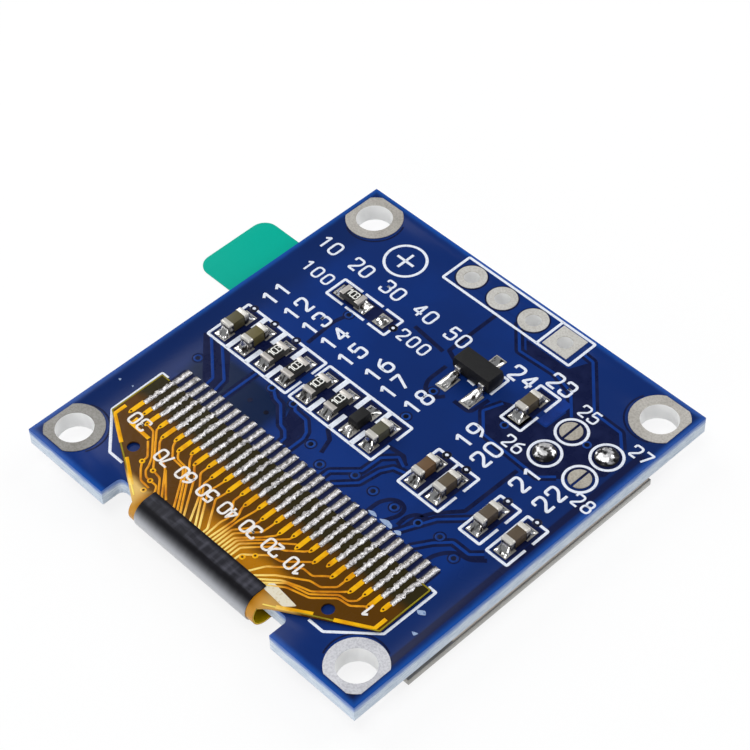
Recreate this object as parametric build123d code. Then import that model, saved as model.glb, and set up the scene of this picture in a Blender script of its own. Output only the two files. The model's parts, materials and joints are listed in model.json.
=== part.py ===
"""A small display module: a square board with its parts on top and a glass panel face down below.

The board's component side is at z = 0 and +Z points away from it. The four mounting holes are
centred on the origin, the header holes are along the +Y edge and the ribbon leaves over the -Y
edge. All sizes are in millimetres.
"""
import os

from build123d import *

# Board
BOARD_WIDTH = 26.9
BOARD_HEIGHT = 27.7
BOARD_THICKNESS = 1.2
NOTCH_DEPTH = 1.45
NOTCH_SIDE_CLEARANCE = 1.8
NOTCH_CORNER_RADIUS = 0.4

# Plated holes and bare copper
COPPER_THICKNESS = 0.04
BARREL_WALL = 0.05
MOUNT_HOLE_DIAMETER = 2.3
MOUNT_RING_WIDTH = 0.65
MOUNT_HOLE_FROM_SIDE = 1.8
MOUNT_HOLE_FROM_END = 1.93
RING_FROM_BOARD_EDGE = 0.35
HEADER_PITCH = 2.54
HEADER_COUNT = 4
HEADER_HOLE_DIAMETER = 1.0
HEADER_RING_WIDTH = 0.45
HEADER_FROM_TOP_EDGE = 1.37

# Chip capacitors and resistors, with the lands that they stand on
CHIP_LENGTH = 1.6
CHIP_WIDTH = 0.8
CAPACITOR_HEIGHT = 0.78
RESISTOR_HEIGHT = 0.46
RESISTOR_COAT = 0.03
CHIP_END_LENGTH = 0.36
CHIP_END_WALL = 0.04
CHIP_EDGE_BEVEL = 0.06
LAND_WIDTH = 0.92
LAND_OUTSIDE_CHIP = 0.5
LAND_UNDER_CHIP = 0.36
FILLET_WIDTH = 0.7
FILLET_FROM_LAND_EDGE = 0.04
FILLET_TOE = 0.02
FILLET_HOLLOW = 0.35
CAPACITOR_FILLET_HEIGHT = 0.5
RESISTOR_FILLET_HEIGHT = 0.34

# Where the chips stand: the row across the board and the parts above it
ROW_BELOW_CENTRE = 0.17
LEFT_ROW_FROM_SIDE = {
    "capacitor_1": 2.47,
    "capacitor_2": 4.20,
    "resistor_1": 5.95,
    "resistor_2": 7.70,
    "resistor_3": 9.53,
    "resistor_4": 11.33,
    "diode": 13.12,
    "capacitor_3": 14.72,
}
RIGHT_ROW_FROM_SIDE = {"capacitor_6": 3.67, "capacitor_7": 1.55}
MIDDLE_PAIR_PITCH = 1.65
MIDDLE_PAIR_OFFSET = 0.27
UPPER_CAPACITOR_FROM_SIDE = 7.65
UPPER_CAPACITOR_FROM_TOP = 6.55
SELECT_RESISTOR_FROM_SIDE = 5.92
SELECT_FROM_TOP = 7.65
SELECT_PAD_PITCH = 2.48

# Diode, long axis along Y
DIODE_LENGTH = 1.2
DIODE_WIDTH = 0.8
DIODE_HEIGHT = 0.6
DIODE_LEAD_LENGTH = 0.2
DIODE_LEAD_WIDTH = 0.32
DIODE_LEAD_THICKNESS = 0.14
DIODE_DRAFT = 5.0

# Three-legged regulator
REGULATOR_FROM_SIDE = 11.39
REGULATOR_FROM_TOP = 6.85
REGULATOR_LENGTH = 2.9
REGULATOR_WIDTH = 1.3
REGULATOR_HEIGHT = 1.0
REGULATOR_STANDOFF = 0.08
REGULATOR_BAND = 0.2
REGULATOR_DRAFT = 8.0
LEG_PITCH = 0.95
LEG_WIDTH = 0.4
LEG_THICKNESS = 0.13
LEG_SHOULDER = 0.14
LEG_FOOT = 0.32
REGULATOR_LAND_WIDTH = 0.82
REGULATOR_LAND_OUTSIDE_FOOT = 0.97
REGULATOR_LANDS_BELOW_BODY = 0.1
REGULATOR_FILLET_WIDTH = 0.6

# Solder jumpers in two rows of two
JUMPER_FROM_SIDE = (4.75, 2.05)
JUMPER_FROM_TOP = (6.13, 8.35)
JUMPER_RADIUS = 0.68
JUMPER_SLOT = 0.17
BRIDGED_JUMPERS = ((0, 1), (1, 0))
SOLDER_DOME_HEIGHT = 0.32
SOLDER_DOME_MARGIN = 0.06
SELECT_DOME_RADIUS = 0.4

# Ribbon and its soldered end
PIN_COUNT = 30
PIN_PITCH = 0.7
RIBBON_SIDE_MARGIN = 0.9
RIBBON_THICKNESS = 0.1
RIBBON_LIFT = 0.05
RIBBON_END_FROM_EDGE = 8.05
SHOULDER_FROM_EDGE = 4.25
NECK_WIDTH = 10.3
NECK_INTO_BEND = 0.6
BEND_CLEARANCE = 0.1
BOND_LENGTH = 1.45
TOOLING_HOLE_DIAMETER = 0.76
TOOLING_HOLE_FROM_SIDE = 3.02
TOOLING_HOLE_BELOW_SHOULDER = 0.95
JOINT_WIDTH = 0.38
JOINT_ON_RIBBON = 2.2
JOINT_ON_BOARD = 1.37
JOINT_HEIGHT = 0.13
JOINT_END_SLOPE = 0.18
JOINT_EDGE_BEVEL = 0.07
PIN_LAND_WIDTH = 0.44
FINGER_WIDTH = 0.3
FINGER_LENGTH = 0.75
FINGER_THICKNESS = 0.02
SHADE_THICKNESS = 0.08
SHADE_SIDE_MARGIN = 0.55
SHADE_ON_TOP = 0.65
SHADE_BELOW = 2.1

# Glass panel, from the board downwards
FOAM_THICKNESS = 0.1
FOAM_INSET = 0.25
PANEL_INSIDE_BOARD = 0.1
PANEL_FROM_EDGE = 4.0
PANEL_FROM_TOP_EDGE = 4.44
COVER_GLASS_THICKNESS = 0.45
COVER_GLASS_INSET = 0.1
BASE_GLASS_THICKNESS = 0.45
LEDGE_DEPTH = 3.45
EMITTER_FROM_SIDE = 2.48
EMITTER_FROM_TOP = 2.1
EMITTER_FROM_LEDGE = 2.51
EMITTER_THICKNESS = 0.05
DRIVER_LENGTH = 9.2
DRIVER_THICKNESS = 0.3
DRIVER_GAP = 0.5
POLARIZER_THICKNESS = 0.13
POLARIZER_INSET = 0.3
FILM_THICKNESS = 0.05
TAB_THICKNESS = 0.05
TAB_WIDTH = 5.8
TAB_FROM_TOP_EDGE = 5.1
TAB_OVERHANG = 5.05
TAB_OVERLAP = 2.4
TAB_CORNER_RADIUS = 1.0

# Places that follow from the sizes
SIDE = BOARD_WIDTH / 2
END = BOARD_HEIGHT / 2
LAND_TOP = COPPER_THICKNESS
FOAM_BOTTOM = -BOARD_THICKNESS - FOAM_THICKNESS
LEDGE_TOP = FOAM_BOTTOM - COVER_GLASS_THICKNESS
PANEL_BOTTOM = LEDGE_TOP - BASE_GLASS_THICKNESS
POLARIZER_BOTTOM = PANEL_BOTTOM - POLARIZER_THICKNESS
FILM_BOTTOM = POLARIZER_BOTTOM - FILM_THICKNESS
PANEL_WIDTH = BOARD_WIDTH - 2 * PANEL_INSIDE_BOARD
PANEL_LOW_Y = -END + PANEL_FROM_EDGE
PANEL_HIGH_Y = END - PANEL_FROM_TOP_EDGE
LEDGE_INNER_Y = PANEL_LOW_Y + LEDGE_DEPTH
NOTCH_WIDTH = NECK_WIDTH + 2 * NOTCH_SIDE_CLEARANCE
NOTCH_WALL_Y = -END + NOTCH_DEPTH
RIBBON_UNDERSIDE = COPPER_THICKNESS + RIBBON_LIFT
RIBBON_TOP = RIBBON_UNDERSIDE + RIBBON_THICKNESS
RIBBON_WIDTH = (PIN_COUNT - 1) * PIN_PITCH + 2 * RIBBON_SIDE_MARGIN
RIBBON_END_Y = -END + RIBBON_END_FROM_EDGE
SHOULDER_Y = -END + SHOULDER_FROM_EDGE
BEND_Y = NOTCH_WALL_Y - BEND_CLEARANCE
BEND_OUTER_RADIUS = (RIBBON_TOP - LEDGE_TOP) / 2
BEND_CENTRE_Z = (RIBBON_TOP + LEDGE_TOP) / 2
JOINT_LOW_Y = RIBBON_END_Y - JOINT_ON_RIBBON
JOINT_HIGH_Y = RIBBON_END_Y + JOINT_ON_BOARD
CHIP_HALF_SPAN = CHIP_LENGTH / 2 + LAND_OUTSIDE_CHIP
LAND_LENGTH = LAND_UNDER_CHIP + LAND_OUTSIDE_CHIP
REGULATOR_X = SIDE - REGULATOR_FROM_SIDE
REGULATOR_Y = END - REGULATOR_FROM_TOP
LEG_REACH = REGULATOR_WIDTH / 2 + LEG_SHOULDER + LEG_FOOT

MOUNT_CENTRES = [
    (sx * (SIDE - MOUNT_HOLE_FROM_SIDE), sy * (END - MOUNT_HOLE_FROM_END))
    for sx, sy in ((-1, -1), (1, -1), (1, 1), (-1, 1))
]
HEADER_CENTRES = [
    ((i - (HEADER_COUNT - 1) / 2) * HEADER_PITCH, END - HEADER_FROM_TOP_EDGE)
    for i in range(HEADER_COUNT)
]
PIN_X = [((PIN_COUNT - 1) / 2 - i) * PIN_PITCH for i in range(PIN_COUNT)]
JUMPER_CENTRES = {
    (column, row): (SIDE - JUMPER_FROM_SIDE[column], END - JUMPER_FROM_TOP[row])
    for column in range(2)
    for row in range(2)
}
SELECT_CENTRE = (-SIDE + SELECT_RESISTOR_FROM_SIDE, END - SELECT_FROM_TOP)

# Where each part of the row is along X; the middle pair is halfway between its neighbours, set off a little
ROW_X = {name: -SIDE + d for name, d in LEFT_ROW_FROM_SIDE.items()}
ROW_X |= {name: SIDE - d for name, d in RIGHT_ROW_FROM_SIDE.items()}
MIDDLE_X = (ROW_X["capacitor_3"] + ROW_X["capacitor_6"]) / 2 + MIDDLE_PAIR_OFFSET
ROW_X["capacitor_4"] = MIDDLE_X - MIDDLE_PAIR_PITCH / 2
ROW_X["capacitor_5"] = MIDDLE_X + MIDDLE_PAIR_PITCH / 2

# Name, x, y and turn of each two-ended part; a turn of 0 has the long axis along Y
CHIPS = [(name, x, -ROW_BELOW_CENTRE, 0) for name, x in ROW_X.items()]
CHIPS += [
    ("capacitor_8", SIDE - UPPER_CAPACITOR_FROM_SIDE, END - UPPER_CAPACITOR_FROM_TOP, 0),
    ("resistor_5", *SELECT_CENTRE, 90),
]


def block(width, depth, low_z, high_z, x=0.0, y=0.0):
    """A box centred on x and y between two levels."""
    return Pos(x, y, low_z) * Box(
        width, depth, high_z - low_z, align=(Align.CENTER, Align.CENTER, Align.MIN)
    )


def post(radius, low_z, high_z, x=0.0, y=0.0):
    """A round post centred on x and y between two levels."""
    return Pos(x, y, low_z) * Cylinder(
        radius, high_z - low_z, align=(Align.CENTER, Align.CENTER, Align.MIN)
    )


def prism(outline, low_z, high_z):
    """A flat outline drawn on the XY plane, raised between two levels."""
    return Pos(0, 0, low_z) * extrude(outline, high_z - low_z)


def side_profile(corners, width):
    """A closed outline of (y, z) corners, extruded evenly both ways along X."""
    face = make_face(Plane.YZ * Polyline(*corners, close=True))
    return extrude(face, width / 2, both=True)


def chip_land(sign):
    """One land at the +Y or -Y end of a two-ended part."""
    centre = sign * (CHIP_HALF_SPAN - LAND_LENGTH / 2)
    return block(LAND_WIDTH, LAND_LENGTH, 0, LAND_TOP, y=centre)


def solder_wedge(width, reach, height):
    """Solder that runs up an end face at y = 0 and thins out towards +Y, with a hollow front."""
    hollow = (reach * FILLET_HOLLOW, height * FILLET_HOLLOW)
    front = ThreePointArc((reach, FILLET_TOE), hollow, (0, height))
    bottom = Polyline((0, height), (0, 0), (reach, 0), (reach, FILLET_TOE))
    face = make_face(Plane.YZ * (front + bottom))
    return extrude(face, width / 2, both=True)


def turned(shape, degrees):
    """A shape turned about Z."""
    return Rot(0, 0, degrees) * shape


def circuit_board():
    """The board with its notch for the ribbon and the bores of its plated holes."""
    board = block(BOARD_WIDTH, BOARD_HEIGHT, -BOARD_THICKNESS, 0)
    notch = prism(Rectangle(NOTCH_WIDTH, 2 * NOTCH_DEPTH), -BOARD_THICKNESS, 0)
    notch = Pos(0, -END, 0) * fillet(notch.edges().filter_by(Axis.Z), NOTCH_CORNER_RADIUS)
    board -= notch
    holes = [
        post(MOUNT_HOLE_DIAMETER / 2 + BARREL_WALL, -BOARD_THICKNESS, 0, x, y)
        for x, y in MOUNT_CENTRES
    ]
    holes += [
        post(HEADER_HOLE_DIAMETER / 2 + BARREL_WALL, -BOARD_THICKNESS, 0, x, y)
        for x, y in HEADER_CENTRES
    ]
    return board - holes


def plated_hole(x, y, hole_diameter, ring):
    """A copper barrel through the board with a flat ring on each side of it."""
    low = -BOARD_THICKNESS
    sleeve = post(hole_diameter / 2 + BARREL_WALL, low, 0, x, y)
    sleeve += prism(ring, 0, COPPER_THICKNESS) + prism(ring, low - COPPER_THICKNESS, low)
    bore = post(hole_diameter / 2, low - COPPER_THICKNESS, COPPER_THICKNESS, x, y)
    return sleeve - bore


def mounting_ring(x, y):
    """A mounting hole's ring, trimmed where it comes near the board's edges."""
    disc = Pos(x, y) * Circle(MOUNT_HOLE_DIAMETER / 2 + MOUNT_RING_WIDTH)
    inner = Rectangle(
        BOARD_WIDTH - 2 * RING_FROM_BOARD_EDGE, BOARD_HEIGHT - 2 * RING_FROM_BOARD_EDGE
    )
    return plated_hole(x, y, MOUNT_HOLE_DIAMETER, disc & inner)


def header_ring(index):
    """A header hole's ring: round, and square at the first contact, which is the last in X."""
    x, y = HEADER_CENTRES[index]
    across = HEADER_HOLE_DIAMETER + 2 * HEADER_RING_WIDTH
    ring = Rectangle(across, across) if index == HEADER_COUNT - 1 else Circle(across / 2)
    return plated_hole(x, y, HEADER_HOLE_DIAMETER, Pos(x, y) * ring)


def capacitor_body():
    """The ceramic block of a chip capacitor."""
    wall = CHIP_END_WALL
    return block(
        CHIP_WIDTH - 2 * wall, CHIP_LENGTH - 2 * wall, LAND_TOP + wall,
        LAND_TOP + CAPACITOR_HEIGHT - wall,
    )


def capacitor_ends():
    """The two metal cups that close over the ends of a chip capacitor."""
    shell = block(CHIP_WIDTH, CHIP_LENGTH, LAND_TOP, LAND_TOP + CAPACITOR_HEIGHT)
    shell = chamfer(shell.edges(), CHIP_EDGE_BEVEL)
    middle = block(
        2 * CHIP_WIDTH, CHIP_LENGTH - 2 * CHIP_END_LENGTH, LAND_TOP, LAND_TOP + CAPACITOR_HEIGHT
    )
    return shell - middle - capacitor_body()


def resistor_body():
    """A chip resistor's ceramic slab, thicker by its black coat between the two ends."""
    wall = CHIP_END_WALL
    top = LAND_TOP + RESISTOR_HEIGHT - wall
    slab = block(CHIP_WIDTH, CHIP_LENGTH - 2 * wall, LAND_TOP + wall, top)
    coat = block(CHIP_WIDTH, CHIP_LENGTH - 2 * CHIP_END_LENGTH, top, top + wall + RESISTOR_COAT)
    coat = chamfer(coat.edges().group_by(Axis.Z)[-1], RESISTOR_COAT)
    return slab + coat


def resistor_ends():
    """The metal bands that wrap the two ends of a chip resistor, open at the sides."""
    shell = block(CHIP_WIDTH, CHIP_LENGTH, LAND_TOP, LAND_TOP + RESISTOR_HEIGHT)
    shell = chamfer(shell.edges().filter_by(Axis.X), CHIP_END_WALL / 2)
    middle = block(
        2 * CHIP_WIDTH, CHIP_LENGTH - 2 * CHIP_END_LENGTH, LAND_TOP, LAND_TOP + RESISTOR_HEIGHT
    )
    return shell - middle - resistor_body()


def diode_body():
    """The moulded body of the diode, drawn in slightly towards its top."""
    base = LAND_TOP + COPPER_THICKNESS / 2
    outline = Rectangle(DIODE_WIDTH, DIODE_LENGTH)
    body = extrude(outline, DIODE_HEIGHT, taper=DIODE_DRAFT)
    return Pos(0, 0, base) * body


def diode_lead():
    """A flat lead at the diode's +Y end."""
    return block(
        DIODE_LEAD_WIDTH, DIODE_LEAD_LENGTH, LAND_TOP, LAND_TOP + DIODE_LEAD_THICKNESS,
        y=(DIODE_LENGTH + DIODE_LEAD_LENGTH) / 2,
    )


def regulator_levels():
    """The regulator's underside, the two levels of its parting band and its top."""
    low = LAND_TOP + REGULATOR_STANDOFF
    middle = low + REGULATOR_HEIGHT / 2
    return low, middle - REGULATOR_BAND / 2, middle + REGULATOR_BAND / 2, low + REGULATOR_HEIGHT


def regulator_body():
    """A moulded body that is widest at its parting band and drafted above and below it."""
    low, band_low, band_high, top = regulator_levels()
    outline = Rectangle(REGULATOR_LENGTH, REGULATOR_WIDTH)
    upper = extrude(outline, top - band_high, taper=REGULATOR_DRAFT)
    lower = extrude(outline, band_low - low, taper=REGULATOR_DRAFT)
    band = prism(outline, band_low, band_high)
    return band + Pos(0, 0, band_high) * upper + Pos(0, 0, band_low) * (Rot(180, 0, 0) * lower)


def regulator_leg():
    """A gull-wing leg on the +Y side, from the parting band down to its foot on the land."""
    out = REGULATOR_WIDTH / 2
    band_low, band_high = regulator_levels()[1:3]
    shoulder = (band_low + band_high + LEG_THICKNESS) / 2
    under = shoulder - LEG_THICKNESS
    heel = out + LEG_SHOULDER
    foot = LAND_TOP + LEG_THICKNESS
    corners = [
        (out, under), (heel - LEG_THICKNESS, under), (heel - LEG_THICKNESS, LAND_TOP),
        (LEG_REACH, LAND_TOP), (LEG_REACH, foot), (heel, foot), (heel, shoulder), (out, shoulder),
    ]
    leg = side_profile(corners, LEG_WIDTH)
    outer_bends = [
        e for e in leg.edges().filter_by(Axis.X)
        if abs(e.center().Y - heel) < 0.01 and e.center().Z > shoulder - 0.01
    ]
    return fillet(outer_bends, LEG_THICKNESS / 2)


def regulator_sites():
    """Where the three legs are: x offset, and the turn that brings +Y to their side."""
    return ((-LEG_PITCH, 180), (LEG_PITCH, 180), (0, 0))


def at_regulator(shape, offset, degrees):
    """A leg or its solder moved to its side of the regulator."""
    return Pos(REGULATOR_X + offset, REGULATOR_Y, 0) * turned(shape, degrees)


def jumper_half(sign):
    """Half of a split round jumper pad."""
    half = Circle(JUMPER_RADIUS) & Pos(sign * (JUMPER_RADIUS + JUMPER_SLOT / 2), 0) * Rectangle(
        2 * JUMPER_RADIUS, 2 * JUMPER_RADIUS
    )
    return prism(half, 0, LAND_TOP)


def solder_dome(radius):
    """A low dome of solder standing on the pads."""
    height = SOLDER_DOME_HEIGHT
    ball = (radius**2 + height**2) / (2 * height)
    cap = Pos(0, 0, height - ball) * Sphere(ball) & block(4 * radius, 4 * radius, 0, 2 * height)
    return Pos(0, 0, LAND_TOP) * cap


def solder_lands():
    """All flat lands: two for each two-ended part, the spare select land, three legs and the pins."""
    lands = []
    for _, x, y, degrees in CHIPS:
        lands += [Pos(x, y) * turned(chip_land(sign), degrees) for sign in (-1, 1)]
    lands.append(
        block(LAND_LENGTH, LAND_WIDTH, 0, LAND_TOP, SELECT_CENTRE[0] + SELECT_PAD_PITCH,
              SELECT_CENTRE[1])
    )
    for offset, degrees in regulator_sites():
        length = LEG_FOOT + REGULATOR_LAND_OUTSIDE_FOOT
        centre = LEG_REACH - LEG_FOOT + length / 2
        land = at_regulator(block(REGULATOR_LAND_WIDTH, length, 0, LAND_TOP, y=centre), offset, degrees)
        lands.append(Pos(0, -REGULATOR_LANDS_BELOW_BODY, 0) * land)
    length = JOINT_HIGH_Y - JOINT_LOW_Y
    centre = (JOINT_HIGH_Y + JOINT_LOW_Y) / 2
    lands += [block(PIN_LAND_WIDTH, length, 0, LAND_TOP, x, centre) for x in PIN_X]
    return lands


def solder_fillets():
    """The solder between each part's metal ends and the outer part of its lands."""
    pieces = []
    for name, x, y, degrees in CHIPS:
        end = CHIP_LENGTH / 2
        height = CAPACITOR_FILLET_HEIGHT
        if name.startswith("resistor"):
            height = RESISTOR_FILLET_HEIGHT
        elif name == "diode":
            end = DIODE_LENGTH / 2 + DIODE_LEAD_LENGTH
            height = DIODE_LEAD_THICKNESS
        wedge = solder_wedge(FILLET_WIDTH, CHIP_HALF_SPAN - end - FILLET_FROM_LAND_EDGE, height)
        for side in (0, 180):
            pieces.append(Pos(x, y) * turned(Pos(0, end, LAND_TOP) * wedge, degrees + side))
    reach = REGULATOR_LAND_OUTSIDE_FOOT - REGULATOR_LANDS_BELOW_BODY - FILLET_FROM_LAND_EDGE
    wedge = Pos(0, LEG_REACH, LAND_TOP) * solder_wedge(REGULATOR_FILLET_WIDTH, reach, LEG_THICKNESS)
    pieces += [at_regulator(wedge, *site) for site in regulator_sites()]
    return pieces


def ribbon_sheet(thickness, outside, top_y, low_y, width):
    """A sheet of a given thickness bent round the board's edge, lying outside the ribbon's middle.

    outside is how far the sheet's inner face lies outside the bend's outer radius less the
    ribbon's thickness, top_y and low_y are where its upper and lower runs end.
    """
    inner = BEND_OUTER_RADIUS - RIBBON_THICKNESS + outside
    outer = inner + thickness
    half_turn = Pos(0, BEND_Y, BEND_CENTRE_Z) * (
        Rot(0, 90, 0) * (Cylinder(outer, width) - Cylinder(inner, width))
    )
    half_turn &= block(width, 4 * outer, BEND_CENTRE_Z - 2 * outer, BEND_CENTRE_Z + 2 * outer,
                       y=BEND_Y - 2 * outer)
    upper = block(width, top_y - BEND_Y, BEND_CENTRE_Z + inner, BEND_CENTRE_Z + outer,
                  y=(top_y + BEND_Y) / 2)
    lower = block(width, low_y - BEND_Y, BEND_CENTRE_Z - outer, BEND_CENTRE_Z - inner,
                  y=(low_y + BEND_Y) / 2)
    return half_turn + upper + lower


def ribbon():
    """The ribbon: wide and soldered above, tapered to a neck that folds round to the panel."""
    sheet = ribbon_sheet(
        RIBBON_THICKNESS, 0, RIBBON_END_Y, PANEL_LOW_Y + BOND_LENGTH, RIBBON_WIDTH
    )
    far = BEND_Y - 2 * BEND_OUTER_RADIUS
    wide = RIBBON_WIDTH / 2
    neck = NECK_WIDTH / 2
    neck_y = BEND_Y - NECK_INTO_BEND
    right = [(wide, RIBBON_END_Y), (wide, SHOULDER_Y), (neck, neck_y), (neck, far)]
    left = [(-x, y) for x, y in reversed(right)]
    outline = make_face(Polyline(*right, *left, close=True))
    above = prism(outline, BEND_CENTRE_Z, RIBBON_TOP + 1)
    high = RIBBON_END_Y + 1
    below = block(NECK_WIDTH, high - far, LEDGE_TOP - 1, BEND_CENTRE_Z, y=(high + far) / 2)
    sheet &= above + below
    for side in (-1, 1):
        x = side * (wide - TOOLING_HOLE_FROM_SIDE)
        y = SHOULDER_Y - TOOLING_HOLE_BELOW_SHOULDER
        sheet -= post(TOOLING_HOLE_DIAMETER / 2, 0, RIBBON_TOP + 1, x, y)
    return sheet


def ribbon_shade():
    """The black tape laid over the outside of the fold."""
    return ribbon_sheet(
        SHADE_THICKNESS, RIBBON_THICKNESS, BEND_Y + SHADE_ON_TOP, BEND_Y + SHADE_BELOW,
        NECK_WIDTH - 2 * SHADE_SIDE_MARGIN,
    )


def solder_joint():
    """One soldered contact: it lies on the ribbon, steps down over its end and runs out on the land."""
    slope = JOINT_END_SLOPE
    ridge_z = RIBBON_TOP + JOINT_HEIGHT
    corners = [
        (JOINT_LOW_Y, RIBBON_TOP), (JOINT_LOW_Y + slope, ridge_z), (RIBBON_END_Y, ridge_z),
        (JOINT_HIGH_Y - slope, LAND_TOP + JOINT_HEIGHT), (JOINT_HIGH_Y, LAND_TOP),
        (RIBBON_END_Y, LAND_TOP), (RIBBON_END_Y, RIBBON_TOP),
    ]
    joint = side_profile(corners, JOINT_WIDTH)
    on_ribbon = joint.edges().filter_by(lambda e: e.center().Y < RIBBON_END_Y)
    on_board = joint.edges().filter_by(lambda e: e.center().Y > RIBBON_END_Y)
    raised = [e for e in on_ribbon if e.center().Z > RIBBON_TOP + JOINT_HEIGHT / 4]
    raised += [e for e in on_board if e.center().Z > LAND_TOP + JOINT_HEIGHT / 4]
    top_edges = [e for e in raised if abs(e.center().X) > JOINT_WIDTH / 4]
    return chamfer(top_edges, JOINT_EDGE_BEVEL)


def finger():
    """The bare end of a ribbon contact below its solder, with its two far corners cut off."""
    bar = block(FINGER_WIDTH, FINGER_LENGTH, RIBBON_TOP, RIBBON_TOP + FINGER_THICKNESS,
                y=JOINT_LOW_Y - FINGER_LENGTH / 2)
    return chamfer(bar.edges().filter_by(Axis.Z).group_by(Axis.Y)[0], FINGER_WIDTH / 4)


def panel_slab(inset, low_y, low_z, high_z):
    """A slab of the panel's outline drawn in at the sides and top, from a given lower edge."""
    high_y = PANEL_HIGH_Y - inset
    return block(PANEL_WIDTH - 2 * inset, high_y - low_y, low_z, high_z, y=(high_y + low_y) / 2)


def cover_glass():
    """The back glass, with a shallow pocket in its lower face for the light-emitting layer."""
    return panel_slab(COVER_GLASS_INSET, LEDGE_INNER_Y, LEDGE_TOP, FOAM_BOTTOM) - emitter()


def emitter():
    """The light-emitting layer between the two glasses."""
    high = PANEL_HIGH_Y - EMITTER_FROM_TOP
    low = LEDGE_INNER_Y + EMITTER_FROM_LEDGE
    width = PANEL_WIDTH - 2 * EMITTER_FROM_SIDE
    return block(width, high - low, LEDGE_TOP, LEDGE_TOP + EMITTER_THICKNESS, y=(high + low) / 2)


def driver_chip():
    """The long narrow driver bonded on the ledge between the ribbon and the back glass."""
    low = PANEL_LOW_Y + BOND_LENGTH + DRIVER_GAP
    high = LEDGE_INNER_Y - DRIVER_GAP
    return block(DRIVER_LENGTH, high - low, LEDGE_TOP, LEDGE_TOP + DRIVER_THICKNESS,
                 y=(high + low) / 2)


def pull_tab():
    """The coloured strip under the film's edge that sticks out past the board's left side."""
    tip = -PANEL_WIDTH / 2 - TAB_OVERHANG
    root = -PANEL_WIDTH / 2 + POLARIZER_INSET + TAB_OVERLAP
    y = END - TAB_FROM_TOP_EDGE - TAB_WIDTH / 2
    strip = block(root - tip, TAB_WIDTH, FILM_BOTTOM - TAB_THICKNESS, FILM_BOTTOM,
                  (root + tip) / 2, y)
    return fillet(strip.edges().filter_by(Axis.Z).group_by(Axis.X)[0], TAB_CORNER_RADIUS)


def write(name, shapes):
    """Write one node as a STEP file: a single solid, or a group of separate solids."""
    group = shapes if isinstance(shapes, list) else [shapes]
    solids = [solid for shape in group for solid in shape.solids()]
    export_step(solids[0] if len(solids) == 1 else Compound(solids), f"parts/{name}.step")


def write_chips():
    """Each two-ended part as a body and its metal ends."""
    for name, x, y, degrees in CHIPS:
        place = Pos(x, y) * Rot(0, 0, degrees)
        if name == "diode":
            write("diode_body", place * diode_body())
            write("diode_leads", [place * turned(diode_lead(), side) for side in (0, 180)])
        elif name.startswith("resistor"):
            write(name, place * resistor_body())
            write(f"{name}_ends", place * resistor_ends())
        else:
            write(name, place * capacitor_body())
            write(f"{name}_ends", place * capacitor_ends())


def write_bare_copper():
    """The board's plated holes, lands and split jumper pads."""
    for index, (x, y) in enumerate(MOUNT_CENTRES):
        write(f"mounting_ring_{index + 1}", mounting_ring(x, y))
    for index in range(HEADER_COUNT):
        write(f"header_ring_{index + 1}", header_ring(index))
    halves = [Pos(*centre) * jumper_half(s) for centre in JUMPER_CENTRES.values() for s in (-1, 1)]
    write("jumper_pads", halves)
    write("solder_lands", solder_lands())


def write_solder():
    """The fillets at the parts, the bridged jumpers and the spare select land's dome."""
    write("solder_fillets", solder_fillets())
    bridge = solder_dome(JUMPER_RADIUS - SOLDER_DOME_MARGIN)
    for index, place in enumerate(BRIDGED_JUMPERS):
        write(f"solder_bridge_{index + 1}", Pos(*JUMPER_CENTRES[place]) * bridge)
    write(
        "select_solder",
        Pos(SELECT_CENTRE[0] + SELECT_PAD_PITCH, SELECT_CENTRE[1]) * solder_dome(SELECT_DOME_RADIUS),
    )


def write_regulator():
    """The regulator's body and its three legs."""
    write("regulator_body", Pos(REGULATOR_X, REGULATOR_Y) * regulator_body())
    write("regulator_legs", [at_regulator(regulator_leg(), *site) for site in regulator_sites()])


def write_ribbon():
    """The ribbon with its soldered contacts, bare fingers and black tape."""
    write("ribbon", ribbon())
    write("ribbon_fingers", [Pos(x, 0) * finger() for x in PIN_X])
    write("ribbon_joints", [Pos(x, 0) * solder_joint() for x in PIN_X])
    write("ribbon_shade", ribbon_shade())


def write_panel():
    """The glass panel's layers, from the tape under the board down to the pull tab."""
    write("foam_tape", panel_slab(COVER_GLASS_INSET + FOAM_INSET, LEDGE_INNER_Y + FOAM_INSET,
                                  FOAM_BOTTOM, -BOARD_THICKNESS))
    write("cover_glass", cover_glass())
    write("light_layer", emitter())
    write("base_glass", panel_slab(0, PANEL_LOW_Y, PANEL_BOTTOM, LEDGE_TOP))
    write("driver_chip", driver_chip())
    write("polarizer", panel_slab(POLARIZER_INSET, LEDGE_INNER_Y + POLARIZER_INSET,
                                  POLARIZER_BOTTOM, PANEL_BOTTOM))
    write("protective_film", panel_slab(POLARIZER_INSET, LEDGE_INNER_Y + POLARIZER_INSET,
                                        FILM_BOTTOM, POLARIZER_BOTTOM))
    write("pull_tab", pull_tab())


os.makedirs("parts", exist_ok=True)
write("circuit_board", circuit_board())
write_bare_copper()
write_chips()
write_regulator()
write_solder()
write_ribbon()
write_panel()
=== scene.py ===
"""The looks of a small display module, seen from its component side, on the frame that carries it."""
import json
import logging
import math
from collections.abc import Callable, Iterable, Sequence
from dataclasses import dataclass, field
from enum import Enum

import bpy
from mathutils import Matrix, Vector, noise

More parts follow.
